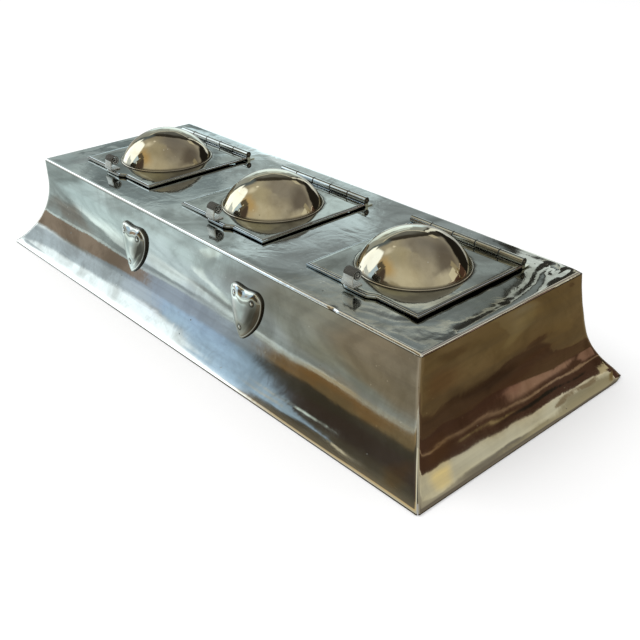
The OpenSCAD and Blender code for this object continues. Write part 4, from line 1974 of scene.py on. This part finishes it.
@dataclass
class Underside:
    """The base plate and the baize pad beneath it.

    Attributes:
        flat_step: Step of the pad's grid.
        fuzz: How far the pad's cut edge wanders.
    """

    flat_step: float = 4.0
    fuzz: float = 0.25

    def build(self, finishes: dict[str, Material], nodes: dict[str, Piece]) -> Piece:
        """Dresses the base plate and lays the pad under it.

        Args:
            finishes: Materials by the name of their slot.
            nodes: CAD nodes by name.

        Returns:
            The pad.
        """
        dressed(nodes["base_plate"], finishes["base_metal"])
        low, high = box_mm("baize_pad")
        edges = [0.0, 0.25, 0.8]
        wide, deep = high.x - low.x, high.y - low.y
        across = spaced(wide, round(wide / self.flat_step), edges)
        along = spaced(deep, round(deep / self.flat_step), edges)
        skin, faces = Skin(), []
        for face_z, way in ((low.z, 1), (high.z, -1)):
            rows = []
            for v in along:
                row = []
                for u in across:
                    border = min(u, v, across[-1] - u, along[-1] - v)
                    shrink = rounded_over(border, 0.5) * 0.6
                    nap = 0.08 * abs(noise.noise(Vector((u * 0.9, v * 0.9, face_z))))
                    fray_x = self.ragged(v) if u in (across[0], across[-1]) else 0.0
                    fray_y = self.ragged(u) if v in (along[0], along[-1]) else 0.0
                    x = low.x + u + fray_x * (1 if u == 0 else -1)
                    y = low.y + v + fray_y * (1 if v == 0 else -1)
                    row.append((x, y, face_z + way * (shrink + (nap if way > 0 else 0.0))))
                rows.append(skin.ring(row))
            skin.loft(rows if way < 0 else rows[::-1], False)
            faces.append(rows)
        skin.bridge(*(border_of(rows) for rows in faces))
        pad = dressed(skin.build("baize_sheet"), finishes["baize"])
        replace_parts(pad, "baize_pad")
        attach(pad, "case")
        return pad

    def ragged(self, along: float) -> float:
        """How far the cut edge lies inside the pad's line."""
        return self.fuzz * abs(noise.noise(Vector((along * 0.35, 3.3, 1.1))))


@dataclass(frozen=True)
class Card:
    """A soft rectangular card of the light tent.

    Attributes:
        azimuth: Direction of its middle, in degrees from +X towards +Y.
        elevation: Height of its middle above the horizon, in degrees.
        wide: Half its width, in degrees.
        high: Half its height, in degrees.
        soft: Width of its soft edge, in degrees.
        light: Colour times strength.
        share: How much of its light the middle takes.
    """

    azimuth: float
    elevation: float
    wide: float
    high: float
    soft: float
    light: Colour
    share: float = 1.0

    def reach(self, across: Signal, upward: Signal) -> Signal:
        """Share of the card at a direction.

        Args:
            across: Angle from the card's middle to the side, in radians.
            upward: Angle from the card's middle upward, in radians.

        Returns:
            1 on the card, 0 beyond its soft edge.
        """
        inside = None
        for angle, half in ((across, self.wide), (upward, self.high)):
            away = angle.math("ABSOLUTE", angle)
            share = away.step(math.radians(half + self.soft), math.radians(half))
            inside = share if inside is None else inside * share
        return inside

    def over(self, paint: Paint, toward: Signal, light: Signal) -> Signal:
        """Lays the card over the light behind it.

        Args:
            paint: Builder of the tent's material.
            toward: Unit vector from the middle of the tent.
            light: Light behind the card.

        Returns:
            The light with the card.
        """
        a = math.radians(self.azimuth)
        ahead = paint.vector("DOT_PRODUCT", toward, (math.cos(a), math.sin(a), 0.0), "Value")
        aside = paint.vector("DOT_PRODUCT", toward, (-math.sin(a), math.cos(a), 0.0), "Value")
        height = paint.axes(toward)[2]
        lift = height.math("ARCSINE", height) - math.radians(self.elevation)
        share = self.reach(aside.math("ARCTAN2", aside, ahead), lift) * self.share
        return paint.mix(share, light, self.light)


@dataclass(frozen=True)
class Oval(Card):
    """An oval card; its half sizes reach to the outside of its soft edge."""

    def reach(self, across: Signal, upward: Signal) -> Signal:
        """Share of the oval at a direction, as for a rectangular card."""
        x, y = across / math.radians(self.wide), upward / math.radians(self.high)
        return ((x * x + y * y) ** 0.5).step(1.0, 1.0 - 2 * self.soft / (self.wide + self.high))


@dataclass(frozen=True)
class Patch:
    """A soft rectangular tone that the floor shows in reflections.

    Attributes:
        low: Lowest corner, in mm.
        high: Highest corner, in mm.
        soft: Width of its soft edge, in mm.
        tone: Its light.
        share: How much of its light the middle takes.
    """

    low: Flat
    high: Flat
    soft: float
    tone: Colour
    share: float = 1.0

    def over(self, paint: Paint, x: Signal, y: Signal, light: Signal) -> Signal:
        """Lays the tone over the light below it.

        Args:
            paint: Builder of the floor's material.
            x: Place along X, in metres.
            y: Place along Y, in metres.
            light: Light below the patch.

        Returns:
            The light with the patch.
        """
        share = None
        for axis, low, high in ((x, self.low[0], self.high[0]), (y, self.low[1], self.high[1])):
            past_low = axis.step((low - self.soft) * MM, low * MM)
            inside = past_low * axis.step((high + self.soft) * MM, high * MM)
            share = inside if share is None else share * inside
        return paint.mix(share * self.share, light, self.tone)


CARDS = (
    # The ceiling and the walls.
    Oval(235, 62, 110, 40, 60, (0.56, 0.52, 0.39)),
    Oval(292, 42, 76, 30, 42, (0.72, 0.68, 0.54)),
    Oval(90, 72, 110, 30, 40, (0.35, 0.33, 0.30)),
    Oval(55, 40, 60, 26, 30, (0.20, 0.18, 0.16)),
    Oval(16, 27, 38, 14, 18, (0.66, 0.63, 0.53)),
    Oval(240, 43, 46, 18, 24, (0.66, 0.49, 0.25)),
    # Behind the stand, as the top and the backs of the domes mirror it.
    Oval(142, 26, 38, 34, 4, (0.06, 0.055, 0.045)),
    Oval(142, 38, 27, 12, 12, (0.24, 0.25, 0.24), 0.8),
    Oval(173, 30, 13, 21, 9, (0.15, 0.19, 0.22)),
    Card(147, 19, 24, 15, 2, (0.42, 0.46, 0.45)),
    Card(148, 22, 13, 3.5, 3.0, (0.60, 0.68, 0.66)),
    Card(141, 5, 15, 8.0, 3.0, (0.92, 1.14, 1.20)),
    Card(141, 11, 9, 7.5, 2.0, (1.15, 1.38, 1.42)),
    Card(139, 25, 5, 1.2, 1.5, (0.95, 1.10, 1.10), 0.8),
    Card(151, 20, 5, 1.2, 1.5, (0.22, 0.26, 0.26), 0.8),
    Card(144, 32.5, 24, 0.5, 0.8, (0.95, 0.92, 0.76), 0.9),
    Oval(90, 11, 30, 17, 6, (0.02, 0.018, 0.015)),
    Card(116, 1, 5.5, 7, 1.5, (1.0, 1.05, 1.0), 0.8),
    Card(118.5, 14, 1.3, 18, 0.7, (1.25, 1.30, 1.20), 0.9),
    Card(107, 36, 4, 4, 1.5, (0.85, 0.80, 0.62)),
    # To the right, as the cove of the right end mirrors it.
    Card(45, 8, 24, 11, 1.5, (0.10, 0.055, 0.04)),
    Oval(42.5, 12.5, 3.6, 2.0, 0.8, (0.03, 0.025, 0.02)),
    Oval(38.4, 10.6, 1.6, 0.6, 0.5, (0.50, 0.40, 0.24)),
    Oval(52, 12, 2.4, 4.5, 1, (0.045, 0.035, 0.02)),
    Card(50.6, 16.5, 0.5, 3, 0.4, (0.9, 0.8, 0.55), 0.8),
    Oval(53.8, 9, 1.0, 3, 0.8, (0.46, 0.33, 0.13)),
    Oval(42, 2.5, 3.2, 5, 2, (0.42, 0.27, 0.22)),
    Oval(47.5, 2.5, 2.4, 5, 1.5, (0.36, 0.22, 0.18)),
    Card(46, 8, 24, 0.25, 0.4, (0.55, 0.40, 0.30), 0.7),
    Card(47, 18.8, 22, 0.3, 0.4, (1.2, 1.1, 0.9), 0.8),
    Card(45, 24, 12, 4.5, 1.5, (0.84, 0.81, 0.66)),
    Card(54, 26.5, 4, 5.0, 2.5, (0.44, 0.40, 0.29)),
    # In front, as the right half of the front mirrors it.
    Card(252, 15, 24, 10, 2, (0.10, 0.085, 0.06)),
    Oval(238, 28, 21, 14, 5, (0.10, 0.075, 0.06)),
    Card(236, 4, 14, 4.5, 2.0, (0.34, 0.24, 0.12)),
    Card(229, 36, 9, 6.5, 2.5, (0.15, 0.125, 0.085)),
    Oval(278, 25, 18, 8, 8, (0.46, 0.42, 0.31)),
    Oval(48, 21, 1.8, 3, 1, (0.34, 0.27, 0.18)),
    Oval(55, 20, 2.6, 4, 1.5, (0.30, 0.23, 0.12)),
    # To the left, as the left half of the front mirrors it.
    Card(190, 9, 11, 19, 4, (1.9, 2.05, 2.1)),
    Oval(201, 26, 20, 21, 4, (1.75, 1.88, 1.92)),
    Card(213, 13.5, 13, 2.5, 2.0, (0.80, 0.90, 0.96)),
    Card(223.5, 20, 4.3, 12, 1.5, (0.66, 0.88, 1.10)),
    Oval(231, 25.8, 1.4, 1.1, 0.5, (2.0, 2.3, 2.2)),
    Oval(229.5, 35.5, 1.6, 2.6, 0.8, (1.4, 1.25, 0.9)),
    Oval(226.6, 25.6, 1.3, 0.8, 0.5, (1.1, 1.0, 0.75)),
    Oval(224, 28.6, 1.6, 0.8, 0.5, (1.1, 1.0, 0.75)),
    Card(222, 5, 6, 4.5, 2.5, (0.56, 0.64, 0.70)),
    Card(209, 4, 8, 3.8, 1.6, (0.42, 0.32, 0.24)),
    Oval(199, 53, 16, 11, 12, (0.90, 0.86, 0.72)),
    Oval(184, 58, 5, 3.5, 3, (1.1, 1.05, 0.9)),
)

PATCHES = (
    Patch((-1500, -1500), (1500, 40), 60, (0.58, 0.66, 0.64)),
    Patch((-225, -420), (-62, 40), 34, (0.98, 1.14, 1.13)),
    Patch((-250, -420), (-125, -142), 18, (1.35, 1.50, 1.45)),
    Patch((-112, -420), (-20, -145), 16, (0.52, 0.56, 0.53)),
    Patch((-1500, -1500), (-290, -430), 45, (1.0, 1.12, 1.08)),
    Patch((-38, -420), (900, -40), 26, (0.60, 0.64, 0.62)),
    Patch((-8, -420), (900, -40), 25, (0.50, 0.52, 0.46)),
    Patch((60, -420), (900, -40), 35, (0.42, 0.36, 0.27)),
    Patch((-290, -1500), (900, -430), 40, (0.74, 0.70, 0.54)),
    Patch((150, -300), (1500, 1500), 25, (0.245, 0.18, 0.10)),
    Patch((188, 60), (199, 135), 3, (0.29, 0.225, 0.13)),
    Patch((238, -300), (1500, 1500), 4, (0.15, 0.095, 0.06)),
    Patch((-78, -135), (-64, -98), 3, (1.6, 1.8, 1.7)),
    Patch((-300, 80), (160, 1500), 40, (0.58, 0.60, 0.56)),
)


@dataclass
class Studio:
    """Floor, light tent, lamp, world and camera.

    Attributes:
        eye: Place of the camera, in mm.
        heading: Turn of the camera from +Y, towards +X, in degrees.
        tilt: Downward tilt, in degrees.
        roll: Roll, in degrees.
        lens: Focal length, in mm.
        sensor: Width of the sensor, in mm.
        level: Strength of the plain light of the world.
        floor_half: Half the width of the floor, in mm.
        floor_glow: Strength of the floor's own light, which keeps it white.
        tent_radius: Radius of the light tent, in mm.
        tent_sweep: Angle from the tent's top down to its lower edge, in degrees.
        tent_rings: Rings of the tent's mesh, and points in each.
        lamp_place: Place of the lamp, in metres.
        lamp_size: Width and depth of the lamp, in metres.
        lamp_power: Power of the lamp, in watts.
    """

    eye: Point = (332.7, -262.7, 225.3)
    heading: float = -48.523
    tilt: float = 29.374
    roll: float = -0.589
    lens: float = 49.69
    sensor: float = 36.0
    level: float = 0.8
    floor_half: float = 6000.0
    floor_glow: float = 0.26
    tent_radius: float = 1900.0
    tent_sweep: float = 93.0
    tent_rings: tuple[int, int] = (30, 48)
    lamp_place: Point = (-0.7, -0.6, 1.3)
    lamp_size: Flat = (1.2, 0.9)
    lamp_power: float = 9.0

    def camera(self) -> None:
        """Places the camera at the photograph's view."""
        yaw, pitch, roll = (math.radians(v) for v in (self.heading, self.tilt, self.roll))
        ahead = Vector((math.sin(yaw) * math.cos(pitch), math.cos(yaw) * math.cos(pitch), -math.sin(pitch)))
        right = Vector((math.cos(yaw), -math.sin(yaw), 0.0))
        up = right.cross(ahead)
        side = right * math.cos(roll) + up * math.sin(roll)
        head = up * math.cos(roll) - right * math.sin(roll)
        lens = bpy.data.cameras.new("camera")
        lens.lens, lens.sensor_width, lens.clip_start, lens.clip_end = self.lens, self.sensor, 0.01, 50.0
        camera = bpy.data.objects.new("camera", lens)
        turn = Matrix((side, head, -ahead)).transposed().to_4x4()
        camera.matrix_world = Matrix.Translation(Vector(self.eye) * MM) @ turn
        bpy.context.scene.collection.objects.link(camera)
        bpy.context.scene.camera = camera

    def floor(self) -> None:
        """Lays the pale floor, which keeps the shadow and shows white."""
        half = self.floor_half
        skin = Skin()
        skin.cap(skin.ring([(-half, -half, 0), (half, -half, 0), (half, half, 0), (-half, half, 0)]))
        made, paint = new_material("pale_floor")
        rays = paint.node("ShaderNodeLightPath").socket.node
        matte = paint.node("ShaderNodeBsdfDiffuse", {}, {"Color": (0.8, 0.8, 0.8)})
        strength = self.seen(paint) * self.floor_glow
        glow = paint.node("ShaderNodeEmission", {}, {"Color": (1.0, 1.0, 1.0), "Strength": strength})
        lit = paint.node("ShaderNodeAddShader", {}, {0: matte, 1: glow})
        shown = paint.node("ShaderNodeEmission", {}, {"Color": self.reflected(paint), "Strength": 1.0})
        mirror = Signal(paint, rays.outputs["Is Glossy Ray"])
        paint.node_output(paint.node("ShaderNodeMixShader", {}, {0: mirror, 1: lit, 2: shown}))
        dressed(skin.build("studio_floor"), made)

    def reflected(self, paint: Paint) -> Signal:
        """Soft tones that the floor shows in reflections, so that polished sheets don't fade into it.

        Args:
            paint: Builder of the floor's material.

        Returns:
            The tones.
        """
        place = paint.place()
        drift = paint.drift(place, 9.0, 3.0, (0.09, 0.09, 0.0))
        x, y, _ = paint.axes(paint.vector("ADD", place, drift))
        light = FLOOR_TONE
        for patch in PATCHES:
            light = patch.over(paint, x, y, light)
        for stretch, strength in (((70.0, 5.0, 1.0), 0.3), ((4.0, 50.0, 1.0), 0.25)):
            streaks = paint.noise(paint.vector("MULTIPLY", place, stretch), 1.0, 4.0, 0.65).step(0.42, 0.66)
            light = paint.mix(streaks * strength, light, STREAK_TONE, "MULTIPLY")
        return light

    def seen(self, paint: Paint) -> Signal:
        """Finds the rays that look at the background: straight, in a reflection or through glass.

        Args:
            paint: Builder of the material or world.

        Returns:
            1 for these rays and 0 for the others.
        """
        rays = paint.node("ShaderNodeLightPath").socket.node
        kinds = ("Is Camera Ray", "Is Glossy Ray", "Is Transmission Ray")
        camera, glossy, through = (Signal(paint, rays.outputs[k]) for k in kinds)
        return camera.most(glossy).most(through)

    def world(self) -> None:
        """Sets the plain white world."""
        world = bpy.data.worlds.new("studio_world")
        bpy.context.scene.world = world
        world.use_nodes = True
        paint = Paint(world.node_tree)
        seen = self.seen(paint)
        strength = self.level + seen * (1.0 - self.level)
        light = paint.node("ShaderNodeBackground", {}, {"Color": (1.0, 1.0, 1.0), "Strength": strength})
        end = paint.tree.nodes.new("ShaderNodeOutputWorld")
        paint.tree.links.new(light.socket, end.inputs["Surface"])

    def tent(self) -> None:
        """Hangs the light tent, which only reflections show."""
        skin, rows = Skin(), []
        rings, points = self.tent_rings
        turns = [math.tau * k / points for k in range(points)]
        for i in range(1, rings + 1):
            a = math.radians(self.tent_sweep) * i / rings
            reach, height = self.tent_radius * math.sin(a), self.tent_radius * math.cos(a)
            rows.append(skin.ring([(reach * math.cos(t), reach * math.sin(t), height) for t in turns]))
        skin.loft(rows)
        skin.fan(rows[0], (0.0, 0.0, self.tent_radius), True)
        made, paint = new_material("tent_panels")
        place = paint.place()
        drift = paint.drift(place, 3.0, 4.0, (0.11, 0.11, 0.10))
        toward = paint.vector("NORMALIZE", paint.vector("ADD", paint.vector("NORMALIZE", place), drift))
        cloth = paint.noise(toward, 3.2, 4.0, 0.6)
        light = paint.mix(cloth.step(0.3, 0.7), *CLOTH_TONES)
        for card in CARDS:
            light = card.over(paint, toward, light)
        paint.node_output(paint.node("ShaderNodeEmission", {}, {"Color": light, "Strength": 1.0}))
        tent = dressed(skin.build("light_tent"), made)
        for ray in ("camera", "diffuse", "transmission", "volume_scatter", "shadow"):
            setattr(tent, f"visible_{ray}", False)

    def lamps(self) -> None:
        """Hangs one large soft lamp over the left shoulder of the camera."""
        light = bpy.data.lights.new("soft_box", "AREA")
        light.shape, (light.size, light.size_y), light.energy = "RECTANGLE", self.lamp_size, self.lamp_power
        lamp = bpy.data.objects.new("soft_box", light)
        place = Vector(self.lamp_place)
        lamp.matrix_world = Matrix.Translation(place) @ place.to_track_quat("Z", "Y").to_matrix().to_4x4()
        lamp.visible_glossy = False
        bpy.context.scene.collection.objects.link(lamp)

    def build(self) -> None:
        """Sets up the whole studio."""
        bpy.context.scene.view_settings.view_transform = "Standard"
        self.camera()
        self.floor()
        self.world()
        self.tent()
        self.lamps()


def slot_finishes() -> dict[str, Material]:
    """The finishes of the parts on the case, by the name of their slot.

    Returns:
        The materials.
    """
    heart_highlight_and_shade, stains = [], []
    # Painted light on each heart: a near-white highlight down its left flank, mid grey in the middle and
    # near-black shade over its right part.
    for x in HEART_PLACES:
        heart_highlight_and_shade += [
            (x - 8.5, -55, 32, 3.6, 20, 12, 0.98, 1.0, 0.98, 0.9),
            (x - 1, -55, 31, 3.2, 20, 9, 0.44, 0.48, 0.46, 0.6),
            (x + 8, -55, 29, 8, 20, 13, 0.05, 0.045, 0.03, 0.97),
        ]
    # Painted reflections laid alike on every dome: darker at the back right, golden at the front left and
    # light near the top front.
    for x in LID_PLACES:
        stains += [
            (x + 9, 7, 69, 12, 9, 7, 0.40, 0.37, 0.30, 0.6),
            (x - 11, -11, 66, 8, 7, 6, 0.50, 0.39, 0.22, 0.6),
            (x + 3, -9, 71, 5, 4, 4, 0.74, 0.70, 0.56, 0.5),
        ]
    made = {
        # The light bluish rubbed colour of the lids also paints the highlight lines along their bevelled
        # edges.
        "lid_plate": PlatedSheet(
            "lid_plate_finish", (0.48, 0.51, 0.48), (0.27, 0.28, 0.255), grain=Grain.NONE, haze=0.07,
            ripple=0.06, waves=60.0, worn=(0.76, 0.84, 0.90), swirl=1.4,
        ),
        "dome_plate": PlatedSheet(
            "dome_finish", (0.64, 0.59, 0.46), (0.48, 0.42, 0.30), blooms(*stains), Grain.ROUND, polish=0.04,
            haze=0.05, dust=0.9,
        ),
        "heart_plate": PlatedSheet(
            "heart_finish", (0.88, 0.92, 0.89), (0.50, 0.52, 0.47), blooms(*heart_highlight_and_shade), Grain.NONE, haze=0.05,
            ripple=0.015, wander=0.008,
        ),
        "hinge_metal": PlatedSheet(
            "hinge_finish", (0.60, 0.66, 0.66), (0.38, 0.40, 0.38), polish=0.09, ripple=0.006
        ),
        "scroll_metal": PlatedSheet(
            "scroll_finish", (0.46, 0.49, 0.46), (0.28, 0.29, 0.27), grain=Grain.NONE, polish=0.3,
            ripple=0.01, bare=0.6,
        ),
        "bearer": PlatedSheet("bearer_finish", (0.55, 0.57, 0.53), (0.38, 0.38, 0.33)),
        "pin_steel": PlainMetal("pin_finish", (0.30, 0.27, 0.22), (0.14, 0.11, 0.08), 0.35),
        "socket_metal": PlainMetal("socket_finish", (0.52, 0.51, 0.47), (0.28, 0.25, 0.19), 0.28),
        "base_metal": PlainMetal("base_finish", (0.42, 0.41, 0.38), (0.22, 0.19, 0.15), 0.4),
        "pot_glass": PressedGlass("pot_finish", 22.0),
        "baize": WoolBaize("baize_finish", (0.055, 0.12, 0.07), (0.09, 0.16, 0.10)),
    }
    return {slot: finish.material() for slot, finish in made.items()}


def main() -> None:
    """Loads the frame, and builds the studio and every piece."""
    logging.basicConfig(level=logging.INFO, format="%(message)s")
    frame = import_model()
    nodes = frame["nodes"]
    Studio().build()
    finishes = slot_finishes()
    for piece in Case().build():
        LOG.info("case: %s, %d faces", piece.name, len(piece.data.polygons))
    for node in ("heart_left", "heart_right"):
        heart = dressed(Heart(node).build(), finishes["heart_plate"])
        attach(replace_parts(heart, node), "case")
        LOG.info("front: %s", heart.name)
    for number in (1, 2, 3):
        Lid(number).build(finishes, nodes)
    pad = Underside().build(finishes, nodes)
    LOG.info("underside: %s", pad.name)


if __name__ == "__main__":
    main()
